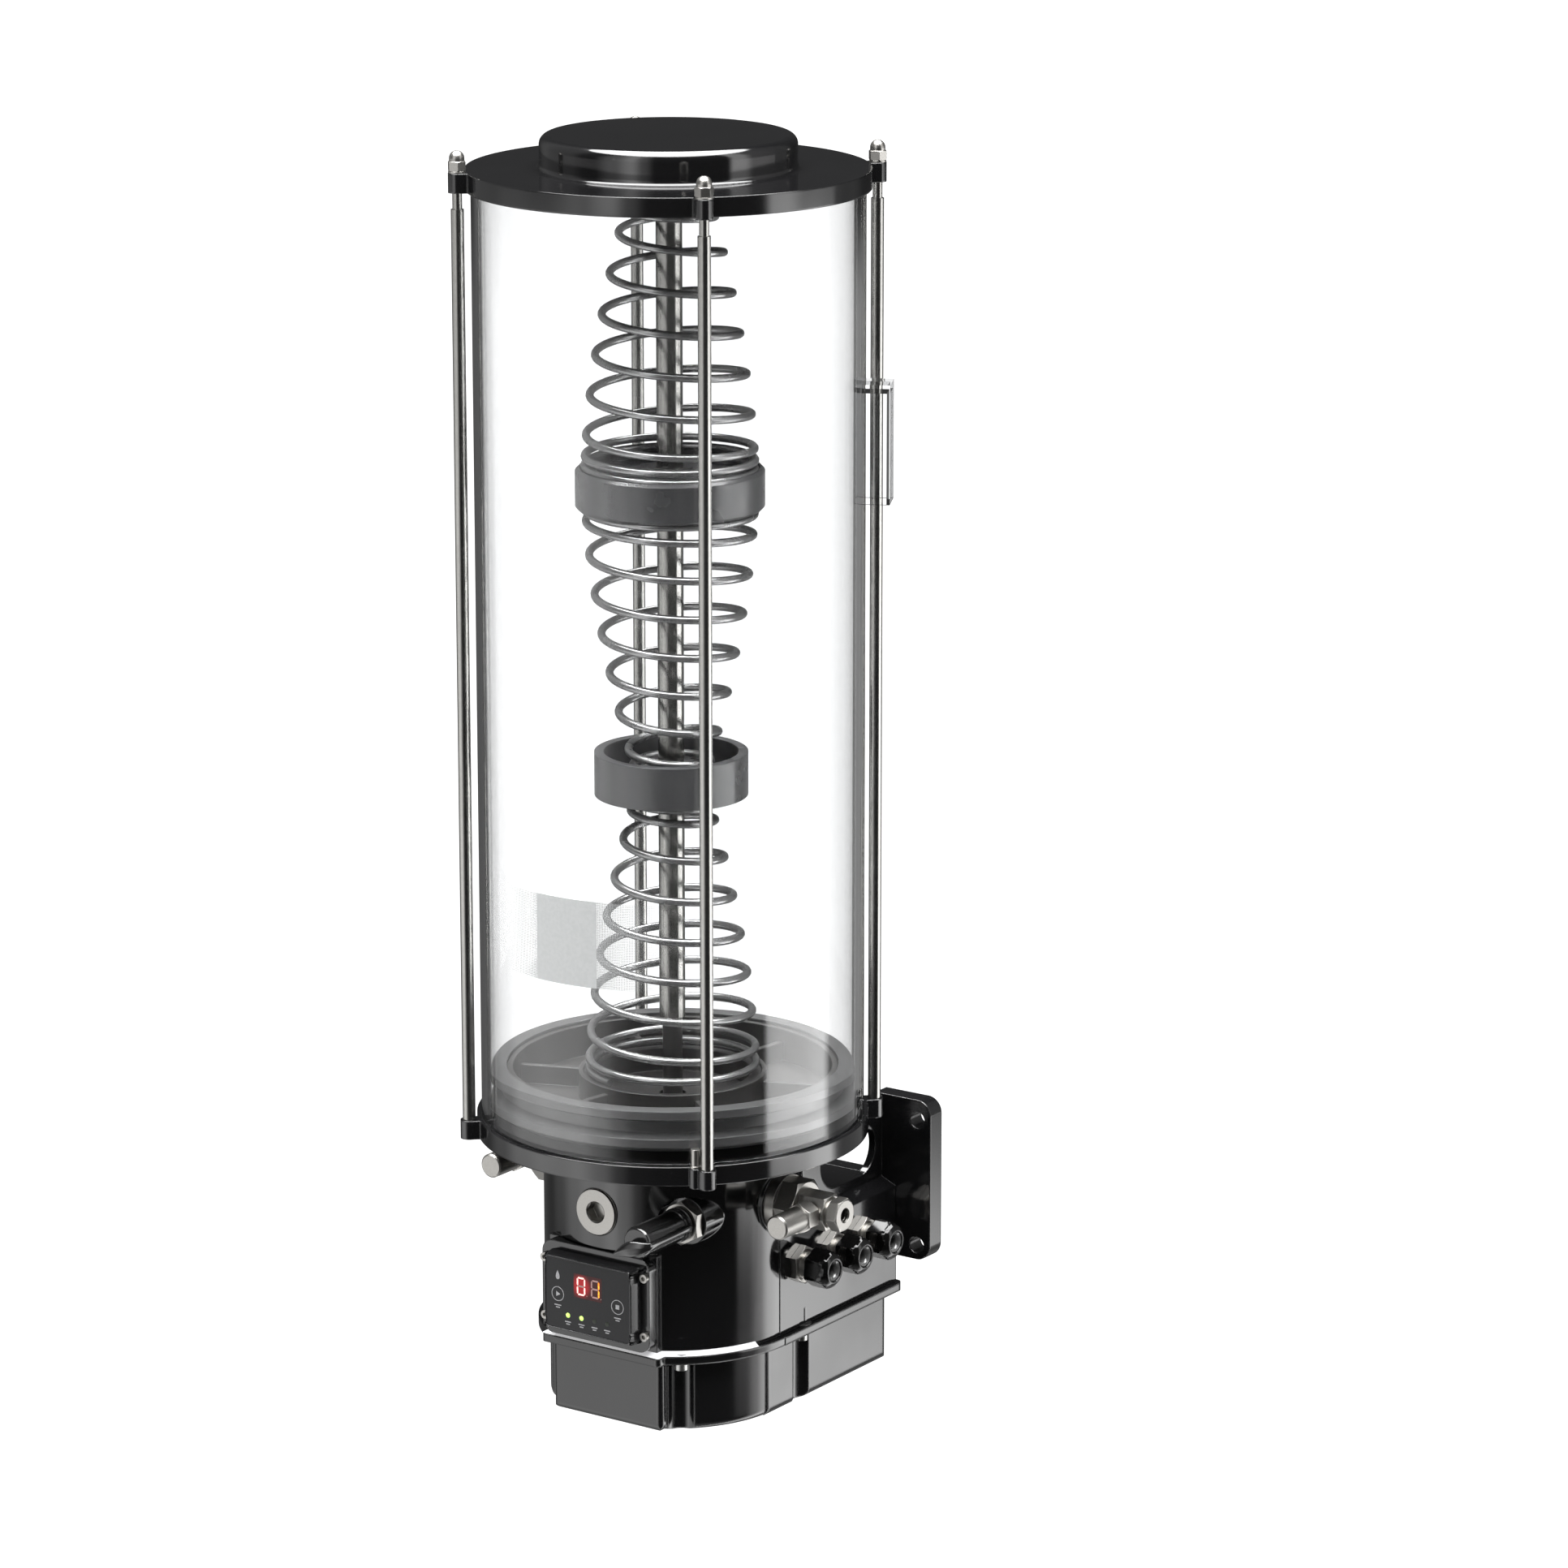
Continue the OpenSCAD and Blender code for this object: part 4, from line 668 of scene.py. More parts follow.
class Finishes:
    """Every finish of the pump."""

    CAST = Finish("black_casting_paint", (0.004, 0.004, 0.0043), (0.005, 0.005, 0.0054),
                  (0.09, 0.12), specular=0.95, bump=0.01, edge=0.0012)
    COVER = Finish("black_cover_paint", (0.004, 0.004, 0.0043), (0.005, 0.005, 0.0054),
                   (0.09, 0.12), specular=0.95, bump=0.01, edge=0.002)
    # Painted highlight: a pale finish that also glows, standing for the lit top edge of the
    # cover's rim.
    RIM_HIGHLIGHT = LitFinish("pale_painted_rim_highlight", (0.6, 0.6, 0.61), (0.64, 0.64, 0.65),
                     (0.35, 0.4), specular=0.6, bump=0.01, glow=0.6)
    STEEL = Finish("ground_steel", (0.34, 0.335, 0.32), (0.36, 0.355, 0.34), (0.2, 0.24),
                   metallic=1.0, grain=300.0, bump=0.0)
    SPRING = Finish("spring_wire", (0.3, 0.3, 0.3), (0.34, 0.34, 0.34), (0.22, 0.28),
                    metallic=0.9, grain=700.0, bump=0.02)
    CUP = Finish("cup_coating", (0.03, 0.03, 0.031), (0.034, 0.034, 0.035), (0.26, 0.3),
                 specular=1.0, grain=1200.0, bump=0.01, edge=0.001)
    DARK = Finish("dark_machined_steel", (0.015, 0.0145, 0.014), (0.018, 0.0173, 0.0165),
                  (0.3, 0.36), specular=0.8, grain=900.0, bump=0.01, edge=0.001)
    NICKEL = Finish("nickel_plate", (0.37, 0.36, 0.34), (0.4, 0.39, 0.37), (0.3, 0.34),
                    metallic=1.0, grain=1100.0, bump=0.01, edge=0.0004)
    MACHINED = Finish("machined_steel", (0.45, 0.45, 0.44), (0.52, 0.52, 0.5), (0.25, 0.35),
                      metallic=1.0, turned=900.0, bump=0.04)
    RUBBER = Finish("black_rubber", (0.03, 0.03, 0.03), (0.04, 0.04, 0.04), (0.3, 0.36),
                    specular=0.8, grain=1500.0, bump=0.03, edge=0.001)
    SEAL = Finish("grey_gland_rubber", (0.07, 0.07, 0.07), (0.09, 0.09, 0.09), (0.2, 0.3),
                  specular=0.9, grain=900.0, bump=0.02)
    CAP = Finish("glossy_cap_rubber", (0.006, 0.006, 0.006), (0.008, 0.008, 0.008),
                 (0.12, 0.16), specular=0.9, grain=700.0, bump=0.01)
    PLASTIC = Finish("black_plastic", (0.002, 0.002, 0.002), (0.003, 0.003, 0.003),
                     (0.08, 0.1), specular=0.5, grain=600.0, bump=0.005, edge=0.0007)
    BOARD = Finish("circuit_board", (0.01, 0.09, 0.04), (0.02, 0.13, 0.06), (0.4, 0.5),
                   grain=400.0)
    MOTOR = Finish("motor_paint", (0.05, 0.06, 0.07), (0.07, 0.08, 0.09), (0.4, 0.5),
                   edge=0.001)
    FILM = Finish("display_foil", (0.014, 0.014, 0.015), (0.017, 0.017, 0.018),
                  (0.34, 0.38), specular=0.25, grain=2200.0, bump=0.02)
    BEZEL = Finish("display_case_paint", (0.016, 0.016, 0.017), (0.02, 0.02, 0.021),
                   (0.14, 0.18), specular=0.9, grain=1500.0, bump=0.01, edge=0.0008)
    PRINT = Finish("pale_print", (0.3, 0.3, 0.31), (0.36, 0.36, 0.37), (0.4, 0.5),
                   grain=1500.0)
    LABEL = FilmFinish("tube_label_film", (0.44, 0.45, 0.45), (0.47, 0.48, 0.48),
                       (0.3, 0.4), specular=0.3, grain=400.0)
    WINDOW = GlowFinish("digit_window", (0.012, 0.002, 0.002), (0.016, 0.003, 0.003),
                        (0.2, 0.26), specular=0.3, middle=(-0.0049, -0.092, 0.0931))
    CLEAR = ClearFinish("clear_acrylic", (0.99, 0.993, 0.995), (0.985, 0.99, 0.993),
                        (0.0, 0.0))
    VENT = ClearFinish("thin_clear_acrylic", (0.97, 0.975, 0.98), (0.96, 0.965, 0.97),
                       (0.0, 0.02), index=1.2)
    DIGITS = LitFinish("lit_segments", (1.0, 0.55, 0.5), (1.0, 0.62, 0.56), (0.3, 0.4),
                       glow=0.75)
    AMBER = LitFinish("amber_segments", (1.0, 0.2, 0.01), (1.0, 0.42, 0.03), (0.3, 0.4),
                      glow=0.85)
    GREEN = LitFinish("green_lamp", (0.5, 0.85, 0.12), (0.62, 0.9, 0.25), (0.2, 0.3),
                      glow=0.6)
    UNLIT = Finish("unlit_lamp", (0.02, 0.024, 0.018), (0.026, 0.03, 0.022), (0.2, 0.3),
                   specular=0.3)
    DIM = LitFinish("unlit_segments", (0.3, 0.17, 0.16), (0.34, 0.2, 0.18), (0.3, 0.4),
                    glow=0.25)


def dress(finish: Finish, *nodes: str) -> None:
    """Gives carried-over solids their finish.

    Args:
        finish: The finish.
        *nodes: Names of the solids.
    """
    for name in nodes:
        solid_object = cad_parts[name]
        solid_object.data.materials.clear()
        solid_object.data.materials.append(finish.material())
        log.info("%s: %s", name, finish.name)


@dataclass
class Studio:
    """Camera, floor and soft light."""

    distance: float = 3.67646
    position_angle: float = 35.764
    height: float = 1.32007
    view_angle: float = 34.675
    pitch: float = 14.102
    lens: float = 140.24
    sensor: float = 36.0
    clip_end: float = 200.0
    white: float = 1.25
    floor_half: float = 30.0
    floor_z: float = -0.0008
    low_light: tuple[tuple[float, float], ...] = (
        (-180, 0.3), (-150, 0.12), (-104, 0.12), (-80, 0.3), (-62, 1.0), (-46, 1.6),
        (-34, 1.6), (-20, 2.4), (-6, 1.5), (4, 0.4), (12, 0.07), (30, 0.03), (106, 0.03),
        (118, 1.5), (130, 4.6), (143, 5.2), (145.6, 4.6), (148.5, 0.9), (154, 0.3),
        (180, 0.3))
    middle_light: tuple[tuple[float, float], ...] = (
        (-180, 0.3), (-150, 0.12), (-104, 0.12), (-84, 0.6), (-66, 1.6), (-46, 2.2),
        (-24, 2.2), (-8, 1.2), (4, 0.4), (12, 0.07), (30, 0.03), (93, 0.03),
        (96, 4.8), (104, 5.5), (130, 5.2), (141, 4.6), (145, 0.6), (154, 0.3),
        (180, 0.3))
    high_light: tuple[tuple[float, float], ...] = (
        (-180, 0.03), (-130, 0.05), (-100, 0.3), (-62, 0.35), (-44, 0.08), (-34, 0.06),
        (-14, 0.9), (3, 2.4), (14, 0.8), (24, 0.06), (90, 0.05), (95, 2.4), (106, 2.2),
        (118, 0.5), (160, 0.2), (180, 0.03))
    low_to_middle: Point = (-0.315, -0.295)
    middle_to_high: Point = (-0.17, -0.148)
    ceiling: float = 16.0
    ceiling_edge: Point = (0.77, 0.8)
    from_below: float = 0.4
    below_edge: Point = (-0.5, -0.9)

    def build(self) -> None:
        """Makes the camera, the floor and the light."""
        self.make_camera()
        self.make_floor()
        self.make_light()
        log.info("studio: camera, floor and light")

    def make_camera(self) -> None:
        """Sets the camera at the photographed view."""
        bpy.context.scene.view_settings.view_transform = "Standard"
        data = bpy.data.cameras.new("studio_camera")
        data.lens = self.lens
        data.sensor_width = self.sensor
        data.clip_end = self.clip_end
        camera = bpy.data.objects.new("studio_camera", data)
        a = math.radians(self.position_angle)
        camera.location = (self.distance * math.sin(a), -self.distance * math.cos(a),
                           self.height)
        camera.rotation_euler = (math.radians(90 - self.pitch), 0,
                                 math.radians(self.view_angle))
        bpy.context.scene.collection.objects.link(camera)
        bpy.context.scene.camera = camera

    def seen_directly(self, tree: Tree) -> Socket:
        """Gives 1 where the camera sees a point straight or through clear plastic only.

        Args:
            tree: The tree to work in.

        Returns:
            The mask.
        """
        path = tree.node("ShaderNodeLightPath").outputs
        bounced = tree.math("ADD", path["Diffuse Depth"], path["Glossy Depth"])
        straight = tree.math("LESS_THAN", bounced, 0.5)
        through = tree.math("MULTIPLY", straight, path["Is Transmission Ray"])
        return tree.math("MAXIMUM", path["Is Camera Ray"], through)

    def make_floor(self) -> None:
        """Makes a plain white floor that casts no light back."""
        half = self.floor_half
        mesh = bpy.data.meshes.new("floor")
        mesh.from_pydata([(-half, -half, 0), (half, -half, 0), (half, half, 0),
                          (-half, half, 0)], [], [(0, 1, 2, 3)])
        floor = bpy.data.objects.new("floor", mesh)
        floor.location = (0, 0, self.floor_z)
        bpy.context.scene.collection.objects.link(floor)
        made = bpy.data.materials.new("white_floor")
        made.use_nodes = True
        made.node_tree.nodes.clear()
        tree = Tree(made.node_tree)
        glow = tree.node("ShaderNodeEmission")
        glow.inputs["Strength"].default_value = self.white
        both = tree.node("ShaderNodeMixShader")
        tree.feed(both.inputs[0], self.seen_directly(tree))
        tree.feed(both.inputs[1], tree.node("ShaderNodeBsdfTransparent").outputs[0])
        tree.feed(both.inputs[2], glow.outputs[0])
        out = tree.node("ShaderNodeOutputMaterial")
        tree.feed(out.inputs["Surface"], both.outputs[0])
        mesh.materials.append(made)

    def ramp(self, tree: Tree, angle: Socket, stops: tuple[tuple[float, float], ...]) -> Socket:
        """Makes a band of light strengths round the horizon.

        Args:
            tree: The tree to work in.
            angle: The direction's angle as a share of a full turn.
            stops: (degrees, strength) pairs in order.

        Returns:
            The strength.
        """
        top = max(value for _, value in stops)
        node = tree.node("ShaderNodeValToRGB")
        node.color_ramp.interpolation = "EASE"
        elements = node.color_ramp.elements
        while len(elements) < len(stops):
            elements.new(1.0)
        for element, (degrees, value) in zip(elements, stops):
            element.position = degrees / 360 + 0.5
            element.color = solid((value / top,) * 3)
        tree.feed(node.inputs[0], angle)
        return tree.math("MULTIPLY", node.outputs[0], top)

    @staticmethod
    def blend(tree: Tree, first: Socket, second: Socket, share: Socket) -> Socket:
        """Gives a value between two, by the share of the second."""
        return tree.math("ADD", tree.math("MULTIPLY", first,
                                          tree.math("SUBTRACT", 1.0, share)),
                         tree.math("MULTIPLY", second, share))

    def make_light(self) -> None:
        """Makes the soft boxes as bands of light round the object."""
        world = bpy.data.worlds.new("studio_light")
        bpy.context.scene.world = world
        world.use_nodes = True
        world.node_tree.nodes.clear()
        tree = Tree(world.node_tree)
        x, y, z = tree.parts(tree.node("ShaderNodeTexCoord").outputs["Generated"])
        turn = tree.azimuth(x, y)
        share = tree.math("ADD", tree.math("DIVIDE", turn, 2 * math.pi), 0.5)
        low, middle, high = (self.ramp(tree, share, stops) for stops in (
            self.low_light, self.middle_light, self.high_light))
        band = self.blend(tree, low, middle, tree.span(z, *self.low_to_middle))
        band = self.blend(tree, band, high, tree.span(z, *self.middle_to_high))
        above = tree.span(z, *self.ceiling_edge, 0.0, self.ceiling)
        below = tree.span(z, *self.below_edge, 0.0, self.from_below)
        level = tree.math("ADD", band, tree.math("ADD", above, below))
        direct = self.seen_directly(tree)
        strength = tree.math("MAXIMUM", level, tree.math("MULTIPLY", direct, self.white))
        background = tree.node("ShaderNodeBackground")
        tree.feed(background.inputs["Strength"], strength)
        out = tree.node("ShaderNodeOutputWorld")
        tree.feed(out.inputs["Surface"], background.outputs[0])


@dataclass
class ConeSpring:
    """One cone spring between two seats, wound left-handed."""

    node: str
    body: str
    joint: str
    small_radius: float
    small_on_top: bool
    turns: float
    closed: float
    start: float
    travel: float = 120.0
    end_pitch: float = 6.0
    bow: float = 1.6
    large_radius: float = 55.0
    wire: float = 5.0
    steps: int = 44

    def rise(self, turn: float, length: float) -> float:
        """Gives the centre line's rise at a turn.

        Args:
            turn: Turns from the bottom end.
            length: Rise of the whole centre line, in mm.

        Returns:
            The rise, in mm.
        """
        slow = (2 * self.closed + 1) * self.end_pitch
        pitch = (length - slow) / (self.turns - 2 * self.closed - 1)
        from_end = min(turn, self.turns - turn)
        free = max(0.0, from_end - self.closed)
        eased = free ** 2 / 2 if free < 1 else free - 0.5
        rise = self.end_pitch * from_end + (pitch - self.end_pitch) * eased
        return rise if turn < self.turns / 2 else length - rise

    def radius(self, share: float) -> float:
        """Gives the centre line's radius at a share of the way from the small end."""
        cone = (self.large_radius - self.small_radius) * (1 - share) ** self.bow
        return self.large_radius - self.wire / 2 - cone

    def build(self) -> None:
        """Makes the spring at its modelled length and sets it on its body."""
        low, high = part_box(self.node)
        length = (high.z - low.z) / MM - self.wire
        first = low.z / MM + self.wire / 2
        count = math.ceil(self.turns * self.steps)
        path = []
        for i in range(count + 1):
            turn = i * self.turns / count
            rise = self.rise(turn, length)
            share = 1 - rise / length if self.small_on_top else rise / length
            angle = self.start - 360 * turn
            path.append(at_azimuth(angle, self.radius(share), first + rise) / MM)
        shape = Shape("wound_" + self.node)
        shape.swept(path, self.wire / 2)
        piece = shape.build(Finishes.SPRING, "spring_steel", (self.node,), self.body,
                            crease=60)
        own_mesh(piece)
        log.info("%s follows %s", piece.name, self.joint)


@dataclass
class Reservoir:
    """Lid, clear tube, tie rods and what is inside the tube."""

    springs: tuple[ConeSpring, ...] = (
        ConeSpring("spring_upper", "pump", "large_cup_slide", small_radius=27.0,
                   small_on_top=True, turns=10.3, closed=1.75, start=168.0),
        ConeSpring("spring_middle", "large_cup", "small_cup_slide", small_radius=23.6,
                   small_on_top=False, turns=11.05, closed=2.0, start=186.0),
        ConeSpring("spring_lower", "small_cup", "follower_slide", small_radius=26.0,
                   small_on_top=True, turns=9.3, closed=1.0, start=348.0))
    tube_out: float = 120.0
    tube_in: float = 114.5
    label_gap: float = 0.05
    label_thick: float = 0.1
    label_angles: Point = (-31.0, 44.0)
    label_heights: Point = (296.7, 351.0)

    def build(self) -> None:
        """Builds the reservoir from the top down."""
        dress(Finishes.CAST, "lid")
        dress(Finishes.VENT, "vent_cover")
        self.build_tube()
        self.build_label()
        dress(Finishes.STEEL, "tie_rods", "guide_tube")
        dress(Finishes.NICKEL, "cap_nuts", "cap_washers", "bleed_screw")
        dress(Finishes.DARK, "guide_pin", "follower_plate")
        dress(Finishes.CUP, "spring_cup_large", "spring_cup_small")
        dress(Finishes.CAST, "guide_spider")
        dress(Finishes.RUBBER, "lid_seal", "tube_seal", "follower_seal")
        for spring in self.springs:
            spring.build()

    def build_tube(self) -> None:
        """Makes the clear tube."""
        low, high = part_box("reservoir_tube")
        bottom, top = low.z / MM, high.z / MM
        tube = Shape("clear_tube")
        tube.turned(((self.tube_in, bottom), (self.tube_out, bottom), (self.tube_out, top),
                     (self.tube_in, top)), steps=256, closed=True)
        tube.build(Finishes.CLEAR, "clear_acrylic", ("reservoir_tube",))

    def build_label(self) -> None:
        """Makes the pale film on the tube."""
        label = Shape("tube_label")
        label.wrapped(self.tube_out + self.label_gap, self.label_thick, self.label_angles,
                      self.label_heights)
        label.build(Finishes.LABEL, "clear_acrylic")


@dataclass
class Housing:
    """Flange, housing, cover, the drive inside, and a painted highlight strip on the cover's
    rim.
    """

    body_r: float = 81.7
    rim_r: float = 85.6
    boss: Point = (41.3, 75.4)
    over: float = 3.9
    rim_top: float = 51.65
    highlight_high: float = 2.3
    highlight_end: float = 74.0
    highlight_steps: int = 40
    corner: float = 1.2

    def build(self) -> None:
        """Dresses the castings and the drive."""
        dress(Finishes.CAST, "base_flange", "pump_housing", "wall_bracket")
        dress(Finishes.COVER, "bottom_cover")
        # Painted highlight: a pale glowing strip along the rim's top edge.
        self.build_rim_highlight()
        dress(Finishes.RUBBER, "cover_gasket", "shaft_seal")
        dress(Finishes.MACHINED, "flange_screws", "cover_screws", "gearbox", "motor_screws",
              "drive_shaft", "shaft_bearing", "eccentric", "eccentric_ring", "stirrer",
              "plunger_right", "plunger_left", "board_screws")
        dress(Finishes.MOTOR, "motor")
        dress(Finishes.BOARD, "control_board", "power_board")

    def rim_highlight_path(self) -> list[tuple[Point, Point]]:
        """Gives the way of the painted highlight strip across the housing's front.

        Returns:
            Places on the housing's wall, each with the one on the rim's edge.
        """
        half, front = self.boss
        far = half + self.over
        path = [((0, -front), (0, -front - self.over)),
                ((half, -front), (far - self.corner, -front - self.over)),
                ((half, -front + self.corner), (far, -front - self.over + self.corner))]
        first = (math.asin(half / self.body_r), math.asin(far / self.rim_r))
        for k in range(self.highlight_steps + 1):
            near, out = (a + (math.radians(self.highlight_end) - a) * k / self.highlight_steps
                         for a in first)
            path.append(((self.body_r * math.sin(near), -self.body_r * math.cos(near)),
                         (self.rim_r * math.sin(out), -self.rim_r * math.cos(out))))
        left = [((-a[0], a[1]), (-b[0], b[1])) for a, b in reversed(path[1:3])]
        return left + path

    def build_rim_highlight(self) -> None:
        """Makes a pale, slightly glowing strip between the cover's rim and the housing, a
        painted highlight that stands for the rim's lit top edge.
        """
        path = self.rim_highlight_path()
        low, high = self.rim_top, self.rim_top + self.highlight_high
        points = [Vector(point) for near, out in path
                  for point in ((*near, high), (*out, low), (*near, low))]
        bead = Shape("painted_rim_highlight")
        bead.add(points, Shape.skin(len(path), 3), Vector())
        # Pale and glowing, this strip is a painted highlight, not a real part.
        bead.build(Finishes.RIM_HIGHLIGHT, "black_rubber")


@dataclass
class Ports:
    """Outlets, filling nipple, sealing plug and cable glands."""

    gland_y: tuple[float, ...] = (22.5, 57.0, 91.5)
    gland_z: float = 93.2
    gland_face: float = 92.0
    nut_flats: float = 22.0
    nut_turn: float = 24.0
    cap_x: float = 54.5
    cap_z: float = 139.0
    cap_face: float = 72.0
    nut_profile: tuple[Point, ...] = (
        (8.2, 0.2), (12.1, 0.2), (12.7, 0.8), (12.7, 9.6), (12.4, 11.2), (11.7, 13.0),
        (10.6, 14.6), (9.3, 15.8), (8.0, 16.4), (7.2, 16.4), (6.9, 15.9), (6.9, 9.0),
        (8.2, 8.6))
    seal_profile: tuple[Point, ...] = (
        (4.0, 9.2), (6.8, 9.2), (6.8, 15.2), (6.3, 15.6), (5.6, 15.2), (4.6, 14.0),
        (4.0, 12.4))
    cap_profile: tuple[Point, ...] = (
        (7.4, 0), (10.6, 0), (10.9, 0.5), (10.9, 1.3), (10.5, 1.8), (10.0, 2.2),
        (10.0, 3.0), (10.7, 3.4), (10.7, 4.4), (10.0, 4.9), (10.0, 40.6), (9.8, 41.7),
        (9.2, 42.6), (8.4, 43.0), (3.0, 43.0), (0.01, 43.0), (0.01, 31.0), (7.4, 31.0))
    ring_profile: tuple[Point, ...] = (
        (7.3, -1.6), (10.4, -1.6), (10.9, -1.1), (10.9, -0.3), (10.4, 0.0), (7.3, 0.0))
    strap_way: tuple[tuple[float, ...], ...] = (
        (8.6, 0.2, 0.8, 90, 2.6, 1.4), (11.2, 1.6, 0.8, 90, 2.4, 1.3),
        (11.4, 12.0, 0.5, 90, 1.7, 1.3), (11.4, 32.0, 0.2, 90, 1.8, 1.3),
        (11.2, 41.0, 0.0, 90, 2.2, 1.3), (10.0, 44.4, -0.4, 45, 2.8, 1.3),
        (7.0, 46.2, -1.0, 0, 3.6, 1.5), (3.0, 47.2, -1.8, 0, 4.6, 1.9),
        (-1.5, 48.0, -3.0, 0, 4.8, 2.2), (-5.5, 48.8, -4.6, 0, 3.6, 2.0),
        (-9.2, 49.5, -6.4, 0, 2.0, 1.5), (-12.0, 50.0, -8.0, 0, 0.7, 0.7))

    def build(self) -> None:
        """Builds the fittings."""
        dress(Finishes.NICKEL, "sealing_plug", "fill_coupling", "pump_element_right",
              "pump_element_left", "relief_valve_right", "relief_valve_left",
              "outlet_nut_right", "outlet_nut_left", "gland_bodies", "plug_washer")
        self.build_glands()
        self.build_cap()

    def build_glands(self) -> None:
        """Makes the gland nuts with their rounded fronts, and their seals."""
        nuts, seals = Shape("gland_nuts_moulded"), Shape("gland_seals_moulded")
        for y in self.gland_y:
            place = Vector((self.gland_face, y, self.gland_z))
            nuts.turned(self.nut_profile, place, Direction.RIGHT, flats=self.nut_flats,
                        turn=self.nut_turn, steps=144, closed=True)
            seals.turned(self.seal_profile, place, Direction.RIGHT, closed=True)
        nuts.build(Finishes.PLASTIC, "black_plastic", ("gland_nuts",), crease=20)
        seals.build(Finishes.SEAL, "black_rubber", ("gland_seals",))

    def build_cap(self) -> None:
        """Makes the dust cap and its strap with the pull tab."""
        place = Vector((self.cap_x, -self.cap_face, self.cap_z))
        cap = Shape("dust_cap_moulded")
        cap.turned(self.cap_profile, place, Direction.FRONT, closed=True)
        cap.build(Finishes.CAP, "black_rubber", ("fill_cap",), "dust_cap", crease=25)
        strap = Shape("cap_strap_moulded")
        stations = []
        for x, y, z, angle, wide, thick in self.strap_way:
            outward = at_azimuth(angle, 1, 0) / MM
            stations.append((place + Vector((x, -y, z)), outward, wide, thick))
        strap.strap(self.smoothed(stations))
        strap.turned(self.ring_profile, place, Direction.FRONT, closed=True)
        strap.build(Finishes.CAP, "black_rubber", ("cap_strap",), "dust_cap", crease=50)

    @staticmethod
    def smoothed(way: list[tuple[Vector, Vector, float, float]],
                 steps: int = 5) -> list[tuple[Vector, Vector, float, float]]:
        """Fills in stations along a smooth curve through the given ones.

        Args:
            way: (middle, outward direction, half width, half thickness) stations.
            steps: New stations for each given one.

        Returns:
            The stations with those between them.
        """
        full: list[tuple] = []
        for i in range(len(way) - 1):
            ends = [way[max(i - 1, 0)], way[i], way[i + 1], way[min(i + 2, len(way) - 1)]]
            for k in range(steps):
                t = k / steps
                share = (-0.5 * t + t ** 2 - 0.5 * t ** 3, 1 - 2.5 * t ** 2 + 1.5 * t ** 3,
                         0.5 * t + 2 * t ** 2 - 1.5 * t ** 3, -0.5 * t ** 2 + 0.5 * t ** 3)
                full.append(tuple(sum((w * e[n] for w, e in zip(share[1:], ends[1:])),
                                      share[0] * ends[0][n]) for n in range(len(way[0]))))
        return [*full, way[-1]]


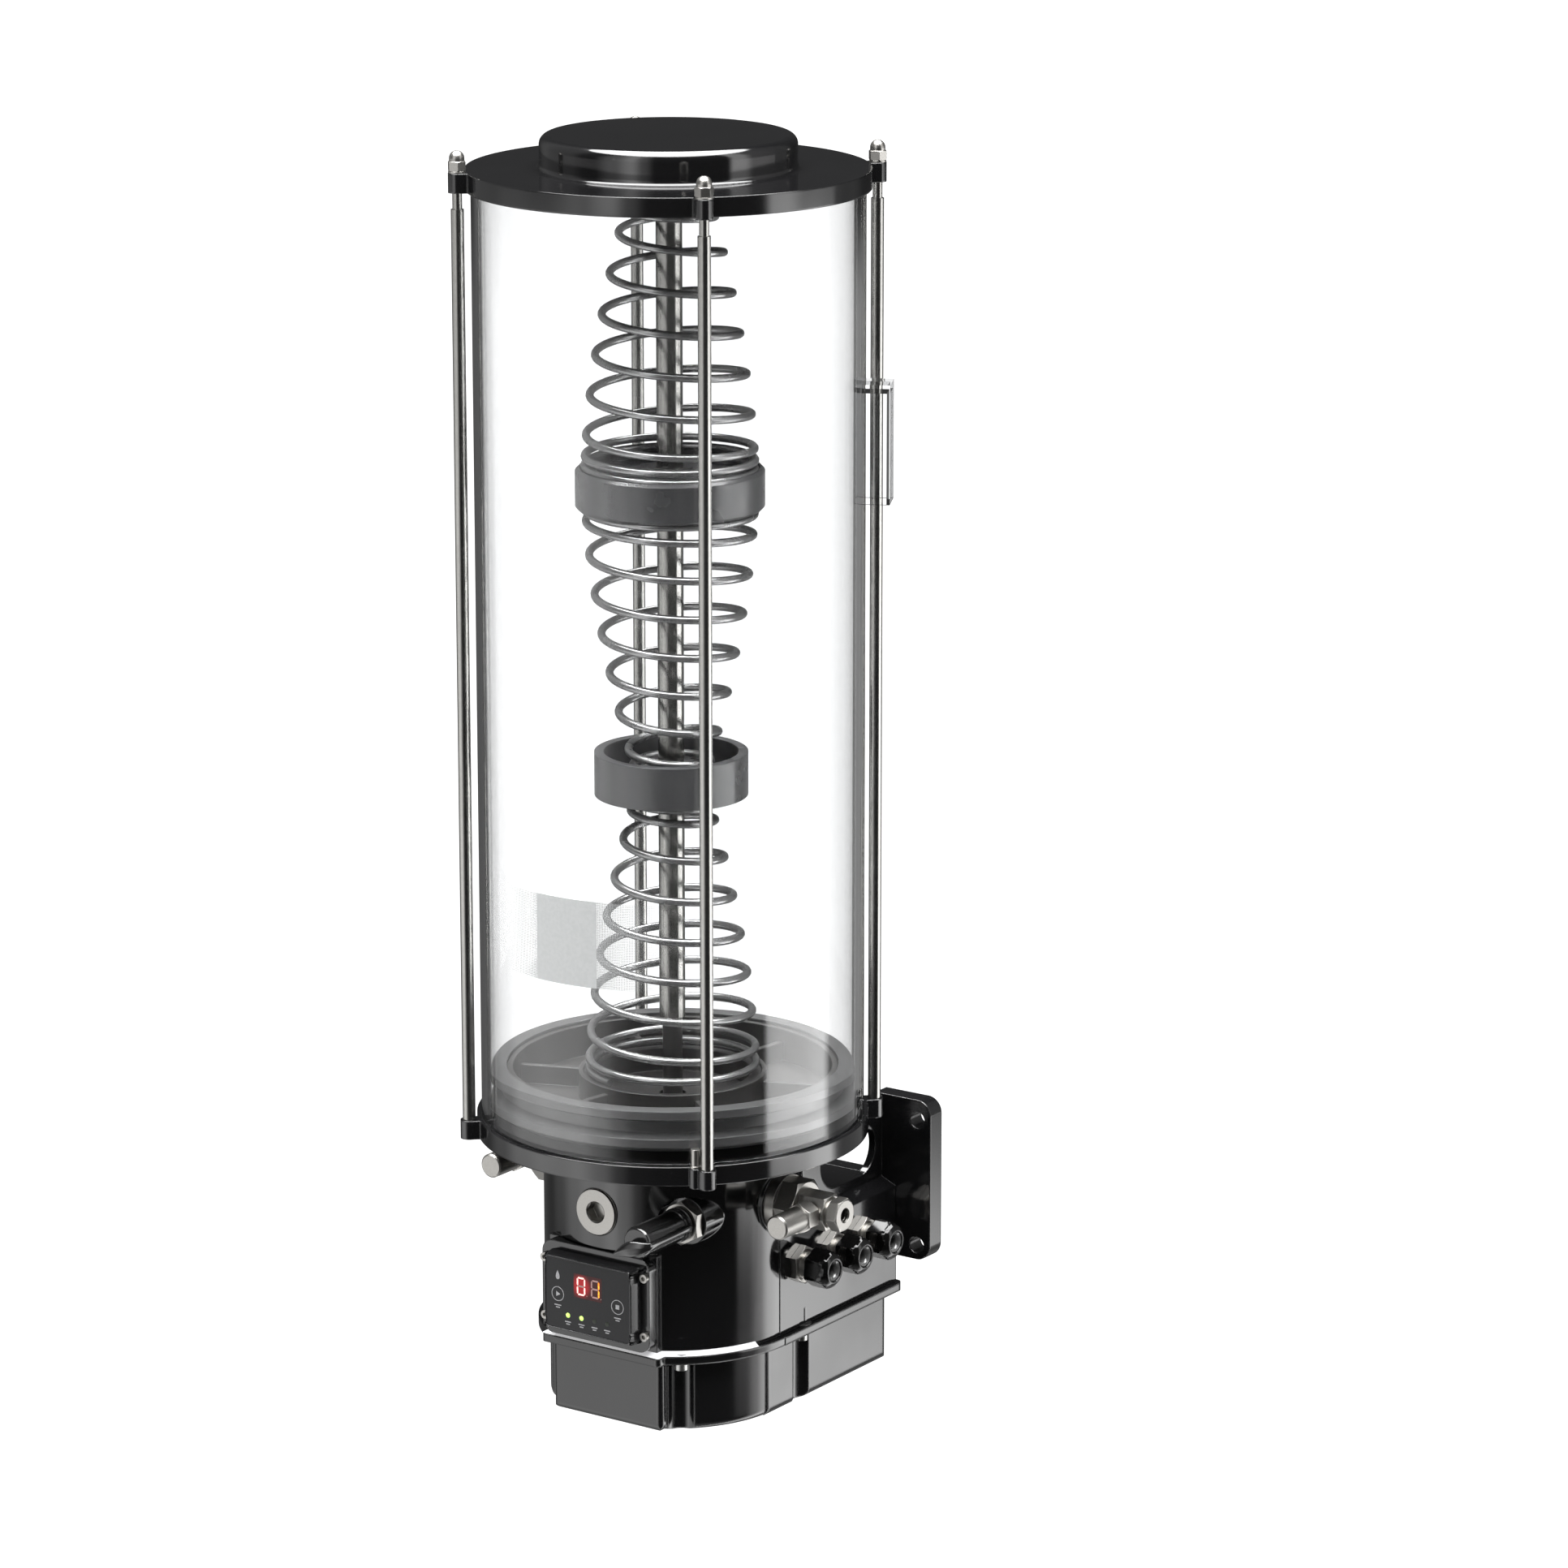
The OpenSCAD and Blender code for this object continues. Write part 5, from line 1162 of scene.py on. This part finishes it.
@dataclass
class DisplayPanel:
    """Display with its keys, figures and lamps."""

    middle_z: float = 85.5
    digit_x: tuple[float, float] = (-4.9, 6.0)
    digit_z: float = 93.1
    digit_half: Point = (2.7, 5.4)
    stroke_half: float = 0.55
    stroke_gap: float = 0.25
    dot_at: Point = (4.4, -5.6)
    dot_half: float = 0.3
    window_x: float = 0.15
    window_half: Point = (10.75, 7.8)
    lamp_x: tuple[float, ...] = (-15.2, -4.8, 5.2, 15.0)
    lamp_z: float = 72.2
    lamp_profile: tuple[Point, ...] = ((1.6, 0.01), (1.6, 0.1), (1.2, 0.25), (0.5, 0.32))
    key_x: tuple[float, float] = (-23.0, 23.0)
    key_z: float = 84.9
    key_ring: Point = (4.3, 4.75)
    start_sign: tuple[Point, ...] = ((-1.2, -1.7), (1.9, 0.0), (-1.2, 1.7))
    stop_half: float = 1.4
    drop_up: float = 12.6
    drop_half: Point = (2.1, 3.0)
    key_mark: Point = (-7.25, 2.6)
    lamp_mark: Point = (-4.25, 2.3)
    mark_half: float = 0.35
    mark_step: float = 1.5
    second_mark: float = 0.6
    lit: tuple[str, str] = ("abcdef", "bc")
    case_half: float = 35.0
    case_tall: float = 25.0
    case_corner: float = 2.5
    film: Point = (32.3, 22.85)
    notch_r: float = 4.6
    notch_z: float = 18.95
    screw_x: float = 38.3
    rim_slope: tuple[tuple[float, float, float, float], ...] = (
        (1.5, 1.2, -0.7, 1.0), (1.8, 1.5, -0.2, 1.0), (2.1, 1.8, 0.0, 0.9))
    rim_deep: float = 0.7
    window_high: float = 0.06
    print_high: float = 0.08
    stroke_high: float = 0.12
    face: float = field(init=False, default=0.0)

    def build(self) -> None:
        """Builds the panel."""
        dress(Finishes.CAST, "display_frame")
        dress(Finishes.FILM, "display_film")
        dress(Finishes.NICKEL, "display_screws")
        self.face = -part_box("display_film")[0].y / MM
        self.build_case()
        self.build_figures()
        self.build_lamps()
        self.build_print()

    def case_outline(self, wide: float, high: float, bite: float) -> list[Point]:
        """Gives the case's outline, with the hollows beside the screws.

        Args:
            wide: Half its width.
            high: Half its height.
            bite: 1 for the full hollows, 0 for none.

        Returns:
            Its corners, counter-clockwise.
        """
        corner, side = [], []
        for k in range(7):
            a = math.radians(15 * k)
            corner.append((wide - self.case_corner * (1 - math.cos(a)),
                           high - self.case_corner * (1 - math.sin(a))))
        for k in range(13):
            z = self.notch_z + self.notch_r * math.sin(math.radians(15 * (k - 6)))
            deep = self.notch_r * math.cos(math.radians(15 * (k - 6)))
            deep -= self.screw_x - self.case_half
            side.append((wide - bite * max(deep, 0.0), z))
        quarter = side + corner
        left = [(-x, z) for x, z in reversed(quarter)]
        return [*quarter, *left, *((-x, -z) for x, z in quarter),
                *((x, -z) for x, z in reversed(quarter))]

    def build_case(self) -> None:
        """Makes the display's case with its sloping sides."""
        low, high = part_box("display_case")
        back, front = -high.y / MM, -low.y / MM
        film = self.case_outline(*self.film, 0)
        outlines = [(self.case_outline(self.case_half, self.case_tall, 1), back)]
        outlines += [(self.case_outline(self.case_half - x, self.case_tall - z, bite), front + y)
                     for x, z, y, bite in self.rim_slope]
        outlines += [(film, front), (film, self.face - self.rim_deep)]
        case = Shape("display_case_moulded")
        case.layered(outlines, Vector((0, 0, self.middle_z)), Direction.FRONT)
        case.build(Finishes.BEZEL, "cast_black", ("display_case",), crease=30)

    def flat(self, shape: Shape, outline: list[Point], high: float) -> None:
        """Adds a thin plate on the film.

        Args:
            shape: The piece that it belongs to.
            outline: Its (x, z) corners.
            high: How far it stands out, in mm.
        """
        shape.layered([(outline, 0.01), (outline, high)], Vector((0, -self.face, 0)),
                      Direction.FRONT)

    def bar(self, shape: Shape, middle: Point, half: Point, high: float) -> None:
        """Adds a thin oblong on the film.

        Args:
            shape: The piece that it belongs to.
            middle: Its (x, z) middle.
            half: Half its width and half its height.
            high: How far it stands out, in mm.
        """
        (x, z), (w, h) = middle, half
        self.flat(shape, [(x - w, z - h), (x + w, z - h), (x + w, z + h), (x - w, z + h)],
                  high)

    def stroke(self, x: float, z: float, half: float, upright: bool) -> list[Point]:
        """Gives the outline of a segment with pointed ends.

        Args:
            x: Its middle across the display.
            z: Its middle in height.
            half: Half its length with the gaps at its ends.
            upright: True for a standing segment.

        Returns:
            Its corners.
        """
        t, end = self.stroke_half, half - self.stroke_gap
        way = [(-end, 0), (t - end, -t), (end - t, -t), (end, 0), (end - t, t), (t - end, t)]
        return [(x - v, z + u) if upright else (x + u, z + v) for u, v in way]

    def segments(self, x: float) -> dict[str, list[Point]]:
        """Gives the outlines of one figure's segments.

        Args:
            x: Middle of the figure.

        Returns:
            The outline of each segment by its letter.
        """
        (w, h), z = self.digit_half, self.digit_z
        shapes = {name: self.stroke(x, z + up * h, w, False)
                  for name, up in (("a", 1), ("g", 0), ("d", -1))}
        for name, side, up in (("b", 1, 1), ("c", 1, -1), ("e", -1, -1), ("f", -1, 1)):
            shapes[name] = self.stroke(x + side * w, z + up * h / 2, h / 2, True)
        return shapes

    def build_figures(self) -> None:
        """Makes the window and its two figures of seven segments."""
        window = Shape("digit_window_plate")
        self.bar(window, (self.window_x, self.digit_z), self.window_half, self.window_high)
        window.build(Finishes.WINDOW, "display_foil")
        pieces = {"lit": Shape("segments_lit"), "amber": Shape("segments_amber"),
                  "dim": Shape("segments_unlit")}
        for x, lit, kind in zip(self.digit_x, self.lit, ("lit", "amber")):
            for name, outline in self.segments(x).items():
                self.flat(pieces[kind if name in lit else "dim"], outline, self.stroke_high)
            self.bar(pieces["dim"], (x + self.dot_at[0], self.digit_z + self.dot_at[1]),
                     (self.dot_half, self.dot_half), self.stroke_high)
        pieces["lit"].build(Finishes.DIGITS, "red_digits", ("digit_display",))
        pieces["amber"].build(Finishes.AMBER, "red_digits")
        pieces["dim"].build(Finishes.DIM, "red_digits")

    def build_lamps(self) -> None:
        """Makes two lit and two unlit lamps."""
        lamps = (Shape("lamps_lit"), Shape("lamps_unlit"))
        for i, x in enumerate(self.lamp_x):
            place = Vector((x, -self.face, self.lamp_z))
            lamps[i // 2].turned(self.lamp_profile, place, Direction.FRONT, steps=32)
        lamps[0].build(Finishes.GREEN, "green_leds", ("indicator_leds",))
        lamps[1].build(Finishes.UNLIT, "green_leds")

    def build_print(self) -> None:
        """Makes the key rings with plain signs, and plain marks for the captions."""
        ink, high = Shape("panel_print"), self.print_high
        inner, outer = self.key_ring
        for x in self.key_x:
            ink.turned(((inner, 0.01), (outer, 0.01), (outer, high), (inner, high)),
                       Vector((x, -self.face, self.key_z)), Direction.FRONT, steps=64,
                       closed=True)
        left, right, z = *self.key_x, self.key_z
        self.flat(ink, [(left + x, z + up) for x, up in self.start_sign], high)
        self.bar(ink, (right, z), (self.stop_half, self.stop_half), high)
        marks = [(x, z + self.key_mark[0], self.key_mark[1]) for x in self.key_x]
        marks += [(x, self.lamp_z + self.lamp_mark[0], self.lamp_mark[1]) for x in self.lamp_x]
        for x, middle, half in marks:
            self.bar(ink, (x, middle), (half, self.mark_half), high)
            self.bar(ink, (x, middle - self.mark_step), (half * self.second_mark,
                                                         self.mark_half), high)
        wide, tall = self.drop_half
        turns = (-2 * math.pi * k / 32 for k in range(32))
        self.flat(ink, [(left + wide * math.sin(a) * abs(math.sin(a / 2)) ** 1.4,
                         z + self.drop_up + tall * math.cos(a)) for a in turns], high)
        ink.build(Finishes.PRINT, "display_foil")


def main() -> None:
    """Builds the studio and each sub-assembly in order."""
    logging.basicConfig(level=logging.INFO, format="%(message)s")
    for part in (Studio(), Reservoir(), Housing(), Ports(), DisplayPanel()):
        part.build()
        log.info("%s is built", type(part).__name__)


if __name__ == "__main__":
    main()
